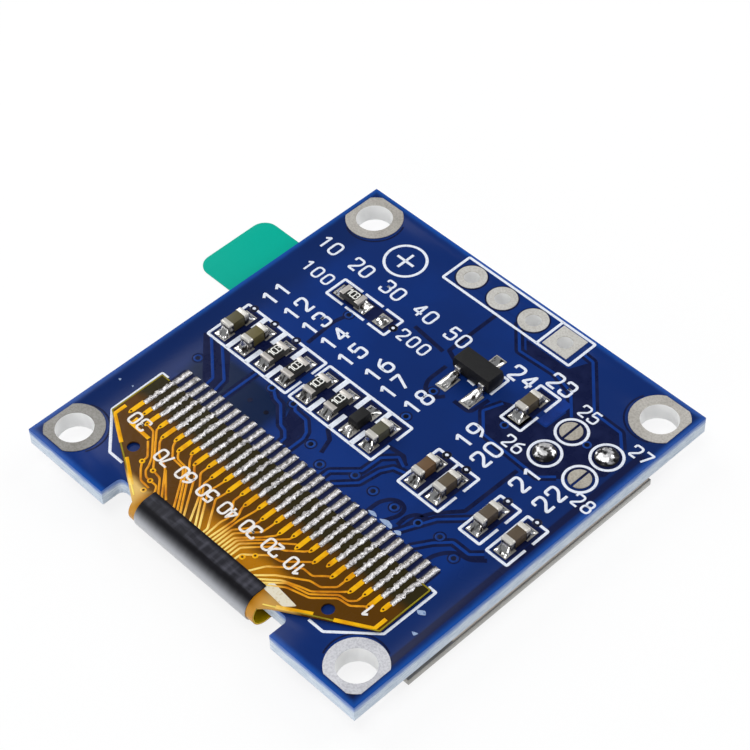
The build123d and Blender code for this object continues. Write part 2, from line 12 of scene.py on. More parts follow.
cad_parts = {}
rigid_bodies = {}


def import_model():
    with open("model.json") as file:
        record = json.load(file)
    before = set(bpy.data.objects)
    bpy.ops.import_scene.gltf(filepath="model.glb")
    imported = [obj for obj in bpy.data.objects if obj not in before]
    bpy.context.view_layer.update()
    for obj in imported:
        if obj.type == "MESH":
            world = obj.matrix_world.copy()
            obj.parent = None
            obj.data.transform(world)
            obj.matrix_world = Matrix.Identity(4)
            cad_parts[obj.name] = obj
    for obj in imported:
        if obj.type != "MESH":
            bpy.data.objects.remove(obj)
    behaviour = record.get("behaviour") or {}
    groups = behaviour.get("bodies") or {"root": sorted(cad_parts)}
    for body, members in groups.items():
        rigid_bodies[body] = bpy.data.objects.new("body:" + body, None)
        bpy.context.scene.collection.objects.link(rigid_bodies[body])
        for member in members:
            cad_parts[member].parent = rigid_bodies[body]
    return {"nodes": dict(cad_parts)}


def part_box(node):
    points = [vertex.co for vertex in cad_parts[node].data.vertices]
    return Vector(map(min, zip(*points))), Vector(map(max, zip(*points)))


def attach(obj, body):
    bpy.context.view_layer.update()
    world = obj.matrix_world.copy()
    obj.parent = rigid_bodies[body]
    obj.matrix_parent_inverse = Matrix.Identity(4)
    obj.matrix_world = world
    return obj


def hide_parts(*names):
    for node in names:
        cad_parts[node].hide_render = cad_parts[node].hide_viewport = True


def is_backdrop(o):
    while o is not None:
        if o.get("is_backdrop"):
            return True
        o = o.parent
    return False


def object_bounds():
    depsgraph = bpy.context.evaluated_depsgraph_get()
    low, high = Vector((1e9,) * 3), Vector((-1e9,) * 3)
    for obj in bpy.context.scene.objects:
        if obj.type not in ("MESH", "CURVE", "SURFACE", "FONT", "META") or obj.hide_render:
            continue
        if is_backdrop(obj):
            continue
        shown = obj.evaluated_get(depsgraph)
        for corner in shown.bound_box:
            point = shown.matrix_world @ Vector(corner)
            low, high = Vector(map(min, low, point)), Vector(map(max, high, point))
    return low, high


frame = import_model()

LOG = logging.getLogger("module")
MM = 0.001

Point = tuple[float, float]
Colour = tuple[float, float, float]


def srgb(red: int, green: int, blue: int) -> Colour:
    """Gives the linear colour of three display values from 0 to 255."""
    shares = (red / 255, green / 255, blue / 255)
    return tuple(s / 12.92 if s <= 0.04045 else ((s + 0.055) / 1.055) ** 2.4 for s in shares)


# Shader maths.


class Value:
    """One output of a shader node, used in ordinary arithmetic."""

    def __init__(self, recipe: "Recipe", socket: bpy.types.NodeSocket) -> None:
        """Keeps the socket and the recipe whose tree it is in."""
        self.recipe = recipe
        self.socket = socket

    def join(self, operation: str, other: "Value | float", swapped: bool = False) -> "Value":
        """Adds the Math node of one operation.

        Args:
            operation: The Math node's own name for it.
            other: The second number or value.
            swapped: Whether the other one comes first.

        Returns:
            The node's result.
        """
        pair = (other, self) if swapped else (self, other)
        return self.recipe.node("ShaderNodeMath", {"operation": operation}, {0: pair[0], 1: pair[1]})

    def __add__(self, other: "Value | float") -> "Value":
        """Adds."""
        return self.join("ADD", other)

    def __sub__(self, other: "Value | float") -> "Value":
        """Takes away."""
        return self.join("SUBTRACT", other)

    def __rsub__(self, other: float) -> "Value":
        """Takes this from a number."""
        return self.join("SUBTRACT", other, swapped=True)

    def __mul__(self, other: "Value | float") -> "Value":
        """Multiplies."""
        return self.join("MULTIPLY", other)

    def __truediv__(self, other: "Value | float") -> "Value":
        """Divides."""
        return self.join("DIVIDE", other)

    def __pow__(self, other: float) -> "Value":
        """Raises to a power."""
        return self.join("POWER", other)

    def __mod__(self, other: float) -> "Value":
        """Gives what is left over, from 0 up to the number."""
        return self.join("FLOORED_MODULO", other)

    def __or__(self, other: "Value | float") -> "Value":
        """Takes the larger."""
        return self.join("MAXIMUM", other)

    def __and__(self, other: "Value | float") -> "Value":
        """Takes the smaller."""
        return self.join("MINIMUM", other)

    def __abs__(self) -> "Value":
        """Drops the sign."""
        return self.join("ABSOLUTE", 0.0)

    __radd__ = __add__
    __rmul__ = __mul__

    def step(self, low: float, high: float) -> "Value":
        """Rises smoothly from 0 at low to 1 at high, or falls where low is the larger."""
        limits = {"Value": self, "From Min": low, "From Max": high}
        return self.recipe.node("ShaderNodeMapRange", {"interpolation_type": "SMOOTHSTEP"}, limits)


class Recipe:
    """Builds the node tree of one material."""

    def __init__(self, name: str) -> None:
        """Starts a material with a plain shader."""
        self.material = bpy.data.materials.new(name)
        self.material.use_nodes = True
        self.tree = self.material.node_tree
        self.shader = self.tree.nodes["Principled BSDF"]

    def node(
        self, kind: str, settings: dict | None = None, inputs: dict | None = None, output: int | str = 0
    ) -> Value:
        """Adds one node.

        Args:
            kind: The node's type.
            settings: Its own settings, which are set first.
            inputs: Values or links for its sockets, by name or number.
            output: Which output is given back.

        Returns:
            That output.
        """
        added = self.tree.nodes.new(kind)
        for key, setting in (settings or {}).items():
            setattr(added, key, setting)
        for key, value in (inputs or {}).items():
            self.fill(added.inputs[key], value)
        return Value(self, added.outputs[output])

    def fill(self, socket: bpy.types.NodeSocket, value: "Value | float | Sequence[float]") -> None:
        """Links a value into a socket, or sets the socket's own number or colour."""
        if isinstance(value, Value):
            self.tree.links.new(value.socket, socket)
        elif socket.type == "RGBA" and len(value) == 3:
            socket.default_value = (*value, 1.0)
        else:
            socket.default_value = value

    def place(self) -> Value:
        """Gives the place on the object in millimetres, as a vector."""
        metres = self.node("ShaderNodeTexCoord", output="Object")
        return self.node("ShaderNodeVectorMath", {"operation": "SCALE"}, {0: metres, "Scale": 1 / MM})

    def axes(self) -> tuple[Value, Value, Value]:
        """Gives the three parts of the place in millimetres."""
        split = self.node("ShaderNodeSeparateXYZ", inputs={0: self.place()})
        outputs = split.socket.node.outputs
        return tuple(Value(self, outputs[i]) for i in range(3))

    def stretched(self, x: float, y: float, z: float) -> Value:
        """Gives the place with each axis at its own scale, for streaks."""
        return self.node("ShaderNodeVectorMath", {"operation": "MULTIPLY"}, {0: self.place(), 1: (x, y, z)})

    def noise(self, scale: float, detail: float = 3.0, vector: Value | None = None) -> Value:
        """Adds a cloudy noise of so many waves a millimetre, from 0 to 1."""
        inputs = {"Vector": vector or self.place(), "Scale": scale, "Detail": detail}
        return self.node("ShaderNodeTexNoise", inputs=inputs)

    def specks(self, scale: float, amount: float) -> Value:
        """Gives 1 in small scattered specks, and 0 elsewhere.

        Args:
            scale: Cells a millimetre.
            amount: How far out from its cell's middle a speck reaches.

        Returns:
            The mask.
        """
        inputs = {"Vector": self.place(), "Scale": scale}
        return self.node("ShaderNodeTexVoronoi", inputs=inputs).step(amount, amount * 0.6)

    def blend(self, share: "Value | float", first: "Value | Colour", second: "Value | Colour") -> Value:
        """Mixes two colours by a share from 0, the first, to 1, the second."""
        settings = {"data_type": "RGBA", "clamp_factor": True}
        return self.node("ShaderNodeMix", settings, {0: share, 6: first, 7: second}, output=2)

    def relief(self, height: Value, depth: float, strength: float = 1.0) -> None:
        """Bumps the surface by a height from 0 to 1, over a depth in millimetres."""
        inputs = {"Height": height, "Distance": depth * MM, "Strength": strength}
        self.fill(self.shader.inputs["Normal"], self.node("ShaderNodeBump", inputs=inputs))

    def varying(self, name: str, value: Value) -> None:
        """Feeds a value that changes over the surface to one of the shader's sockets."""
        self.fill(self.shader.inputs[name], value)

    def plain(self, **numbers: float) -> None:
        """Sets numbers that are the same all over, by socket name with _ for a space."""
        for key, number in numbers.items():
            self.shader.inputs[key.replace("_", " ")].default_value = number


# Finishes.


@dataclass(frozen=True)
class MaskedBoard:
    """Glass-fibre laminate under a satin solder mask, darker where it has no copper under it."""

    width: float
    length: float
    thickness: float
    copper_blue: Colour = srgb(16, 44, 106)
    bright_blue: Colour = srgb(14, 54, 132)
    shaded_blue: Colour = srgb(16, 34, 76)
    bare_blue: Colour = srgb(18, 26, 64)
    stained_blue: Colour = srgb(5, 26, 56)
    rim_blue: Colour = srgb(28, 92, 188)
    fibre: Colour = srgb(232, 240, 248)
    fibre_dark: Colour = srgb(186, 202, 220)
    dipped: Colour = srgb(70, 112, 190)

    def material(self) -> bpy.types.Material:
        """Makes the mask on both faces and the cut laminate between them."""
        made = Recipe("masked_board")
        x, y, z = made.axes()
        from_side = self.width / 2 - abs(x)
        from_end = self.length / 2 - abs(y)
        cloud = made.noise(0.12, 4)
        copper = made.blend(cloud.step(0.4, 0.68) * 0.55, self.copper_blue, self.bright_blue)
        copper = made.blend(from_side.step(3.4, 1.7) * 0.5, copper, self.shaded_blue)
        strip = (from_side.step(0.42, 0.55) & from_side.step(1.02, 0.86)) & (x.step(0.0, 1.0) & y.step(9.6, 9.0))
        mask = made.blend(strip, copper, self.bare_blue)
        drift = made.noise(0.35, 3) * 2.4
        across = (x + drift).step(-10.0, -8.6) & (x + drift).step(-2.0, -3.4)
        stain = across & ((y + drift / 3).step(-4.8, -4.2) & (y + drift / 3).step(-1.3, -2.1))
        mask = made.blend(stain * 0.9, mask, self.stained_blue)
        rim = ((from_side & from_end) + made.noise(1.5) * 0.1).step(0.5, 0.1)
        mask = made.blend(rim * 0.58, mask, self.rim_blue)
        weave = made.noise(1.0, 2, made.stretched(1.1, 1.1, 16.0))
        threads = made.noise(1.0, 3, made.stretched(7.0, 7.0, 30.0))
        cut = made.blend((weave * 0.6 + threads * 0.5).step(0.38, 0.72), self.fibre, self.fibre_dark)
        cut = made.blend((z + weave * 0.3).step(-0.42, 0.06) * 0.9, cut, self.dipped)
        face = z.step(-0.035, -0.02) | z.step(0.025 - self.thickness, 0.01 - self.thickness)
        made.varying("Base Color", made.blend(face, cut, mask))
        made.varying("Roughness", 0.62 - face * 0.4 + cloud * 0.08)
        made.relief(made.noise(2.2, 5) * 0.7 + threads * (1 - face), 0.01, 0.35)
        made.plain(Specular_IOR_Level=0.12)
        return made.material


@dataclass(frozen=True)
class MaskedCopper:
    """Solder mask over one level of the copper pattern: bare laminate, a track or a pour."""

    name: str
    colour: Colour
    other: Colour
    roughness: float = 0.22
    mottle: float = 0.9

    def material(self) -> bpy.types.Material:
        """Makes a satin mask with faint clouds and small stains."""
        made = Recipe(self.name)
        cloud = made.noise(self.mottle, 4)
        made.varying("Base Color", made.blend(cloud.step(0.42, 0.66), self.colour, self.other))
        made.varying("Roughness", cloud * 0.12 + self.roughness)
        made.relief(made.noise(3.0, 4), 0.008, 0.3)
        made.plain(Specular_IOR_Level=0.12)
        return made.material


@dataclass(frozen=True)
class Ink:
    """White screen-printed ink, slightly uneven where the mesh let it through."""

    name: str = "white_ink"
    colour: Colour = srgb(233, 238, 248)
    thin: Colour = srgb(196, 206, 228)

    def material(self) -> bpy.types.Material:
        """Makes the ink."""
        made = Recipe(self.name)
        patch = made.noise(7.0, 3)
        made.varying("Base Color", made.blend(patch.step(0.5, 0.78), self.colour, self.thin))
        made.varying("Roughness", patch * 0.2 + 0.45)
        made.relief(made.noise(16.0, 2), 0.006, 0.5)
        return made.material


@dataclass(frozen=True)
class Metal:
    """Plated or reflowed metal, from satin tin to bright solder."""

    name: str
    colour: Colour
    shade: Colour
    roughness: float
    rough_range: float = 0.15
    grain: float = 14.0
    relief: float = 0.01
    relief_strength: float = 0.5
    stain: float = 0.25
    metallic: float = 1.0

    def material(self) -> bpy.types.Material:
        """Makes the metal with its grain, its dull patches and a few dark specks."""
        made = Recipe(self.name)
        cloud = made.noise(1.6, 4)
        fine = made.noise(self.grain, 4)
        speck = made.specks(2.6, 0.16) * made.noise(0.7, 2).step(0.52, 0.66)
        dull = (cloud.step(0.45, 0.8) * self.stain + speck * 0.5) & 1.0
        made.varying("Base Color", made.blend(dull, self.colour, self.shade))
        made.varying("Roughness", fine * self.rough_range + cloud * self.rough_range + self.roughness)
        made.relief(fine, self.relief, self.relief_strength)
        made.plain(Metallic=self.metallic)
        return made.material


@dataclass(frozen=True)
class TornSolder:
    """Solder wiped on with a hot bar: white flecks with dark pits, duller where it lies on the board, and painted
    shade down one side of each bar.
    """

    film_end: float
    pitch: float
    white: Colour = srgb(252, 250, 252)
    grey: Colour = srgb(158, 152, 146)
    pit: Colour = srgb(58, 54, 50)

    def material(self) -> bpy.types.Material:
        """Makes the solder."""
        made = Recipe("torn_solder")
        x, y, _ = made.axes()
        # Painted shade: the -X side of each bar is greyed, as if that side were in shade.
        shaded_side = (x % self.pitch).step(self.pitch * 0.7, self.pitch * 0.45)
        fleck = made.noise(1.0, 5, made.stretched(8.0, 4.5, 6.0))
        fine = made.noise(15.0, 4)
        dull = made.noise(1.0, 3, made.stretched(5.0, 2.2, 4.0))
        on_land = y.step(self.film_end - 0.1, self.film_end + 0.2)
        base = made.blend(dull.step(0.42, 0.62) * 0.4 | on_land * 0.2 | shaded_side * 0.9, self.white, self.grey)
        pits = (fleck * 0.62 + fine * 0.38).step(0.51, 0.61)
        made.varying("Base Color", made.blend(pits * 0.82, base, self.pit))
        made.varying("Roughness", fine * 0.2 + 0.18)
        made.relief(fleck + fine * 0.6, 0.06, 0.9)
        made.plain(Metallic=0.65)
        return made.material


@dataclass(frozen=True)
class CappedSolder:
    """A solder cap with a painted highlight: a white crown that runs out in arms, and darker towards its rim."""

    rim: float
    crown: float
    bright: Colour = srgb(252, 250, 250)
    dark: Colour = srgb(46, 44, 46)

    def material(self) -> bpy.types.Material:
        """Makes the cap, its colour led by how high on the cap the place lies."""
        made = Recipe("capped_solder")
        _, _, z = made.axes()
        arms = made.noise(2.8, 2)
        # Painted highlight: white above the crown's height, darker down towards the rim.
        share = (z + (arms - 0.5) * 0.9).step(self.rim, self.crown)
        made.varying("Base Color", made.blend(share, self.dark, self.bright))
        made.varying("Roughness", made.noise(5.0, 2) * 0.2 + 0.22)
        made.relief(arms, 0.08, 0.6)
        made.plain(Metallic=0.8)
        return made.material


@dataclass(frozen=True)
class PlatedTin:
    """Flat tin plating with a fine grain, with painted light making it paler down inside the plated bores."""

    name: str = "plated_tin"
    tin: Colour = srgb(196, 193, 187)
    dull: Colour = srgb(168, 164, 156)
    bore: Colour = srgb(254, 254, 253)
    lap: float = 0.0
    pitch: float = 0.7
    mask: Colour = srgb(16, 24, 58)

    def material(self) -> bpy.types.Material:
        """Makes the plating, its colour led by how deep in the bore the place lies."""
        made = Recipe(self.name)
        x, y, z = made.axes()
        fine = made.noise(9.0, 5)
        cloud = made.noise(0.5, 3)
        deep = z.step(-0.01, -0.06)
        face = made.blend(fine.step(0.38, 0.66) * 0.6 + cloud.step(0.4, 0.7) * 0.4, self.tin, self.dull)
        if self.lap:
            lapped = (x % self.pitch).step(self.lap + 0.01, self.lap - 0.01) & y.step(-3.9, -4.1)
            face = made.blend(lapped, face, self.mask)
            deep = deep | lapped
        # Painted reflection: the bore walls are near white, for the bright floor that they would mirror.
        made.varying("Base Color", made.blend(deep, face, self.bore) if not self.lap else face)
        made.varying("Metallic", 0.85 - deep * 0.8)
        made.varying("Roughness", fine * 0.2 + 0.4)
        made.relief(fine, 0.012, 0.6)
        return made.material


@dataclass(frozen=True)
class ChipMetal:
    """The tinned end of a chip: cream on its crown, and darker down its sides as a painted reflection of the dark
    board that the metal mirrors.
    """

    name: str
    top: float
    crown: Colour = srgb(242, 238, 230)
    side: Colour = srgb(96, 90, 84)

    def material(self) -> bpy.types.Material:
        """Makes the metal, its colour led by how far below the crown the place lies."""
        made = Recipe(self.name)
        _, _, z = made.axes()
        fine = made.noise(12.0, 4)
        streak = made.noise(1.0, 3, made.stretched(8.0, 8.0, 1.6))
        # Painted reflection: below the crown the sides are darkened, for the dark board that they mirror.
        down = (z + streak * 0.06).step(self.top - 0.04, self.top - 0.16)
        side = made.blend(streak.step(0.46, 0.7), self.side, srgb(170, 164, 156))
        made.varying("Base Color", made.blend(down * 0.9, self.crown, side))
        made.varying("Metallic", 0.55 + down * 0.45)
        made.varying("Roughness", fine * 0.14 + 0.24 - down * 0.08)
        made.relief(fine, 0.006, 0.25)
        return made.material


@dataclass(frozen=True)
class ReflowedSolder:
    """Bright solder that ran down in streaks, with dark streaks of painted reflection between them."""

    name: str = "reflowed_solder"
    bright: Colour = srgb(248, 246, 243)
    dark: Colour = srgb(72, 68, 66)

    def material(self) -> bpy.types.Material:
        """Makes the solder."""
        made = Recipe(self.name)
        streak = made.noise(1.0, 3, made.stretched(4.6, 2.2, 2.0))
        fine = made.noise(5.0, 3)
        # Painted reflection: the dark streaks stand in for the dark surroundings that shiny solder mirrors.
        made.varying("Base Color", made.blend(streak.step(0.47, 0.64), self.bright, self.dark))
        made.varying("Roughness", fine * 0.12 + 0.1)
        made.relief(streak + fine * 0.4, 0.03, 0.5)
        made.plain(Metallic=1.0)
        return made.material


@dataclass(frozen=True)
class FilmCopper:
    """Copper seen through amber film: golden, and glinting where the ribbon starts to turn down."""

    name: str
    gold: Colour
    shade: Colour
    glint: Colour
    glint_from: float
    glint_to: float
    glint_left: float = -20.0
    glint_right: float = 20.0

    def material(self) -> bpy.types.Material:
        """Makes the copper, its colour led by how near the fold the place lies."""
        made = Recipe(self.name)
        x, y, _ = made.axes()
        cloud = made.noise(1.3, 3)
        fine = made.noise(8.0, 3)
        lit = x.step(self.glint_left - 0.8, self.glint_left + 0.8) & x.step(self.glint_right, self.glint_right - 1)
        near = (y + cloud * 0.8).step(self.glint_from, self.glint_to) & lit
        base = made.blend(cloud.step(0.4, 0.72), self.gold, self.shade)
        made.varying("Base Color", made.blend(near, base, self.glint))
        made.varying("Roughness", fine * 0.16 + 0.24)
        made.relief(fine, 0.006, 0.3)
        made.plain(Metallic=0.1, Specular_IOR_Level=0.12)
        return made.material


@dataclass(frozen=True)
class Fired:
    """The fired ceramic of a chip capacitor."""

    name: str
    colour: Colour

    def material(self) -> bpy.types.Material:
        """Makes a satin ceramic with a fine grain and paler patches."""
        made = Recipe(self.name)
        grain = made.noise(26.0, 3)
        cloud = made.noise(2.5, 2)
        pale = tuple(min(c * 1.5 + 0.015, 1.0) for c in self.colour)
        made.varying("Base Color", made.blend(grain * 0.5 + cloud * 0.35, self.colour, pale))
        made.varying("Roughness", grain * 0.2 + 0.36)
        made.relief(grain, 0.008, 0.5)
        return made.material


@dataclass(frozen=True)
class Glaze:
    """A chip resistor: a ceramic slab with a black glaze on its upper face."""

    top: float
    black: Colour = srgb(22, 22, 22)
    ceramic: Colour = srgb(84, 82, 78)

    def material(self) -> bpy.types.Material:
        """Makes the glaze above the slab's upper edge, and the slab below it."""
        made = Recipe("glazed_slab")
        _, _, z = made.axes()
        grain = made.noise(20.0, 3)
        coat = z.step(self.top - 0.05, self.top - 0.035)
        black = made.blend(grain.step(0.4, 0.8) * 0.4, self.black, srgb(54, 53, 51))
        # Painted shade: the slab is a dark grey, darker than its pale ceramic, for the shade on its sides.
        slab = made.blend(made.noise(5.0, 4), self.ceramic, srgb(48, 47, 44))
        made.varying("Base Color", made.blend(coat, slab, black))
        made.varying("Roughness", grain * 0.2 + 0.36)
        made.relief(grain, 0.008, 0.4)
        made.plain(Specular_IOR_Level=0.25)
        return made.material


@dataclass(frozen=True)
class Moulding:
    """Black moulding compound: a fine matt face, with a paler bloom in places."""

    colour: Colour = srgb(13, 13, 15)
    bloom: Colour = srgb(38, 38, 38)

    def material(self) -> bpy.types.Material:
        """Makes the compound."""
        made = Recipe("moulding_compound")
        grain = made.noise(30.0, 3)
        cloud = made.noise(2.2, 3)
        made.varying("Base Color", made.blend(grain.step(0.45, 0.8) * 0.5 + cloud * 0.2, self.colour, self.bloom))
        made.varying("Roughness", grain * 0.15 + 0.48)
        made.relief(grain, 0.012, 0.6)
        made.plain(Specular_IOR_Level=0.3)
        return made.material


@dataclass(frozen=True)
class AmberFilm:
    """Polyimide film: olive over the dark board, warmer towards the fold, with painted highlights at the fold's
    corners and painted light making the fold's inside yellow.
    """

    over_board: float
    at_fold: float
    fold_y: float
    fold_z: float
    fold_middle: float
    olive: Colour = srgb(44, 38, 15)
    brown: Colour = srgb(88, 54, 2)
    amber: Colour = srgb(178, 114, 2)
    corner_highlight: Colour = srgb(252, 218, 134)
    glow: Colour = srgb(252, 214, 10)
    tan: Colour = srgb(204, 146, 58)

    def material(self) -> bpy.types.Material:
        """Makes the film, its colour led by how far down the ribbon the place lies."""
        made = Recipe("amber_film")
        x, y, z = made.axes()
        cloud = made.noise(0.9, 4)
        down = y + cloud * 0.5
        lower = made.blend(down.step(self.over_board, self.over_board - 0.9), self.olive, self.brown)
        middle = (x.step(-2.4, -0.4) & x.step(5.4, 4.4)) & down.step(self.at_fold + 1.9, self.at_fold + 1.0)
        nearer = down.step(self.at_fold + 0.5, self.at_fold - 0.5)
        warm = made.blend(middle | nearer, lower, self.amber)
        # Painted highlight: pale gold at the film's corners beside the tape, where it turns down.
        corner = (x.step(-4.5, -5.5) * 0.65 + x.step(4.5, 5.5) * 0.3) & down.step(self.at_fold + 0.4, self.at_fold - 0.5)
        warm = made.blend(corner, warm, self.corner_highlight)
        # Painted light: the fold's inner face is bright yellow, as if lit through the film.
        from_axis = (abs(y - self.fold_y) ** 2 + abs(z - self.fold_z) ** 2) ** 0.5
        folded = made.blend(from_axis.step(self.fold_middle - 0.02, self.fold_middle + 0.02), self.glow, self.tan)
        made.varying("Base Color", made.blend(z.step(0.02, -0.25), warm, folded))
        made.varying("Roughness", cloud * 0.12 + 0.2)
        made.relief(made.noise(3.2, 4) + made.noise(0.8, 2) * 1.4, 0.02, 0.5)
        made.plain(Coat_Weight=0.05, Coat_Roughness=0.12, Specular_IOR_Level=0.12)
        return made.material


@dataclass(frozen=True)
class FoldedTape:
    """Black satin tape pulled round the fold: black along its upper edge, painted shade where it turns, and a painted
    pale sheen below.
    """

    edge: float
    black: Colour = srgb(10, 9, 14)
    flat: Colour = srgb(40, 40, 46)
    smudge_and_sheen: Colour = srgb(86, 86, 96)
    sheen: Colour = srgb(174, 176, 182)

    def material(self) -> bpy.types.Material:
        """Makes the tape."""
        made = Recipe("black_satin_tape")
        crease = made.noise(1.0, 3, made.stretched(2.6, 0.3, 0.3))
        smear = made.noise(1.0, 4, made.stretched(0.7, 3.0, 3.0))
        _, y, z = made.axes()
        # Lighter streaks on the flat top: smudges, and painted streaks of reflection.
        upper = made.blend(crease.step(0.4, 0.8) * 0.55 + smear.step(0.42, 0.7) * 0.45, self.flat, self.smudge_and_sheen)
        lip = (y + smear * 0.3).step(self.edge - 0.15, self.edge + 0.2)
        # Painted shade: black where the tape turns down from its flat top, and black along its upper edge.
        turned = z.step(0.262, 0.2) | lip
        face = made.blend(turned * 0.92, upper, self.black)
        # Painted reflection: a pale sheen on the outward face of the turn, fading back to black below.
        outward = (z + crease * 0.08).step(0.2, -0.62) & z.step(-1.72, -1.15)
        made.varying("Base Color", made.blend(outward, face, self.sheen))
        made.varying("Roughness", crease * 0.12 + 0.42)
        made.varying("Coat Weight", outward)
        made.relief(crease + made.noise(4.0, 2) * 0.15, 0.02, 0.3)
        made.plain(Specular_IOR_Level=0.08, Coat_Roughness=0.3, Coat_IOR=1.6)
        return made.material


@dataclass(frozen=True)
class Sheet:
    """A smooth layer of the display: glass, film, foam, tape or bare silicon."""

    name: str
    colour: Colour
    other: Colour
    roughness: float
    coat: float = 0.0
    metallic: float = 0.0
    alpha: float = 1.0
    fades: tuple[float, float] | None = None
    specular: float = 0.5

    def material(self) -> bpy.types.Material:
        """Makes the layer, with a faint cloud and, where it fades, a change of colour along X."""
        made = Recipe(self.name)
        cloud = made.noise(0.6, 3)
        share = cloud.step(0.35, 0.75) * 0.5
        if self.fades:
            x, _, _ = made.axes()
            share = x.step(*self.fades)
        made.varying("Base Color", made.blend(share, self.colour, self.other))
        made.varying("Roughness", cloud * 0.1 + self.roughness)
        made.relief(made.noise(5.0, 3), 0.006, 0.3)
        made.plain(Coat_Weight=self.coat, Metallic=self.metallic, Alpha=self.alpha, Specular_IOR_Level=self.specular)
        return made.material


# The workbench.


class Select(Enum):
    """What edit mode picks."""

    VERTICES = (True, False, False)
    EDGES = (False, True, False)
    FACES = (False, False, True)


def clear_bench() -> None:
    """Leaves edit mode and deselects everything."""
    if bpy.context.object and bpy.context.object.mode != "OBJECT":
        bpy.ops.object.mode_set(mode="OBJECT")
    bpy.ops.object.select_all(action="DESELECT")


def take(piece: bpy.types.Object) -> None:
    """Makes one object the only one selected, and the active one."""
    clear_bench()
    piece.select_set(True)
    bpy.context.view_layer.objects.active = piece


def named(name: str) -> bpy.types.Object:
    """Names the object that was just added, and its mesh."""
    piece = bpy.context.object
    piece.name = name
    piece.data.name = name
    return piece


def edit(piece: bpy.types.Object, mode: Select = Select.VERTICES, everything: bool = True) -> None:
    """Enters edit mode on one object, with all or nothing selected."""
    take(piece)
    bpy.ops.object.mode_set(mode="EDIT")
    bpy.context.tool_settings.mesh_select_mode = mode.value
    bpy.ops.mesh.select_all(action="SELECT" if everything else "DESELECT")


def pick(piece: bpy.types.Object, mode: Select, test: Callable[[Vector, Vector], bool]) -> None:
    """Enters edit mode with only the faces or vertices selected whose middle and normal, in mm, pass a test."""
    edit(piece, mode, everything=False)
    bpy.ops.object.mode_set(mode="OBJECT")
    if mode is Select.FACES:
        for face in piece.data.polygons:
            face.select = test(face.center / MM, face.normal)
    else:
        for corner in piece.data.vertices:
            corner.select = test(corner.co / MM, corner.normal)
    bpy.ops.object.mode_set(mode="EDIT")


def apply_all(piece: bpy.types.Object) -> None:
    """Applies the object's place and each of its modifiers."""
    take(piece)
    bpy.ops.object.transform_apply(location=True, rotation=True, scale=True)
    for modifier in list(piece.modifiers):
        bpy.ops.object.modifier_apply(modifier=modifier.name)


def joined(name: str, pieces: Sequence[bpy.types.Object]) -> bpy.types.Object:
    """Joins objects into one mesh under a new name."""
    take(pieces[0])
    for piece in pieces:
        piece.select_set(True)
    bpy.ops.object.join()
    return named(name)


def copied(piece: bpy.types.Object, offset: tuple[float, float, float], turn: float = 0.0) -> bpy.types.Object:
    """Copies a finished object with a mesh of its own.

    Args:
        piece: What is copied, modelled at the origin.
        offset: Where the copy goes, in mm.
        turn: Its turn about Z in degrees.

    Returns:
        The copy, with its place in its mesh.
    """
    copy = piece.copy()
    copy.data = piece.data.copy()
    bpy.context.collection.objects.link(copy)
    copy.data.transform(Matrix.Translation(Vector(offset) * MM) @ Matrix.Rotation(math.radians(turn), 4, "Z"))
    return copy


def dismiss(pieces: Iterable[bpy.types.Object]) -> None:
    """Removes patterns that were only copied."""
    for piece in list(pieces):
        bpy.data.objects.remove(piece, do_unlink=True)


def smooth(piece: bpy.types.Object, angle: float = 40.0) -> None:
    """Shades a mesh smooth but for its sharp edges."""
    take(piece)
    bpy.ops.object.shade_smooth_by_angle(angle=math.radians(angle))


def show(piece: bpy.types.Object, material: bpy.types.Material, slot: str, *nodes: str) -> None:
    """Puts a finished piece on the part.

    Args:
        piece: The new mesh.
        material: Its only material.
        slot: Not used.
        nodes: The CAD nodes that it replaces.
    """
    piece.data.materials.clear()
    piece.data.materials.append(material)
    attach(piece, "root")
    if nodes:
        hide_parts(*nodes)
    LOG.info("%s: %d faces", piece.name, len(piece.data.polygons))


def dress(node: str, material: bpy.types.Material, bevel: float = 0.0, angle: float = 35.0) -> None:
    """Dresses a CAD node: one material, rounded edges and smooth walls.

    Args:
        node: The node's name.
        material: Its material.
        bevel: How wide its sharp edges are rounded, in mm.
        angle: The angle in degrees above which an edge is sharp.
    """
    body = frame["nodes"][node]
    body.data.materials.clear()
    body.data.materials.append(material)
    weld = body.modifiers.new("weld", "WELD")
    weld.merge_threshold = 0.0005 * MM
    if bevel:
        rounding = body.modifiers.new("rounding", "BEVEL")
        rounding.width = bevel * MM
        rounding.segments = 2
        rounding.limit_method = "ANGLE"
        rounding.angle_limit = math.radians(angle)
        rounding.harden_normals = False
    split = body.modifiers.new("creases", "EDGE_SPLIT")
    split.split_angle = math.radians(angle)
    take(body)
    bpy.ops.object.shade_smooth()
    LOG.info("%s: dressed", node)


# Strokes.


@dataclass(frozen=True)
class Route:
    """A line drawn on the board: its corner points in mm, how round its corners are, and if it closes."""

    points: Sequence[Point]
    radius: float = 0.06
    closed: bool = False

    def path(self) -> list[Vector]:
        """Gives the points with each corner turned into a short arc."""
        corners = [Vector((x, y, 0)) for x, y in self.points]
        count = len(corners)
        path = []
        for i, corner in enumerate(corners):
            if not self.closed and i in (0, count - 1):
                path.append(corner)
                continue
            before = corners[i - 1] - corner
            after = corners[(i + 1) % count] - corner
            reach = min(self.radius, before.length * 0.48, after.length * 0.48)
            start = corner + before.normalized() * reach
            end = corner + after.normalized() * reach
            steps = 4 if self.radius > 0.12 else 2
            for k in range(steps + 1):
                t = k / steps
                path.append(start * (1 - t) ** 2 + corner * (2 * t * (1 - t)) + end * t**2)
        return path


def circle(x: float, y: float, radius: float, steps: int = 28) -> Route:
    """Gives a closed round route."""
    turn = math.tau / steps
    points = [(x + radius * math.cos(i * turn), y + radius * math.sin(i * turn)) for i in range(steps)]
    return Route(points, 0.0, True)


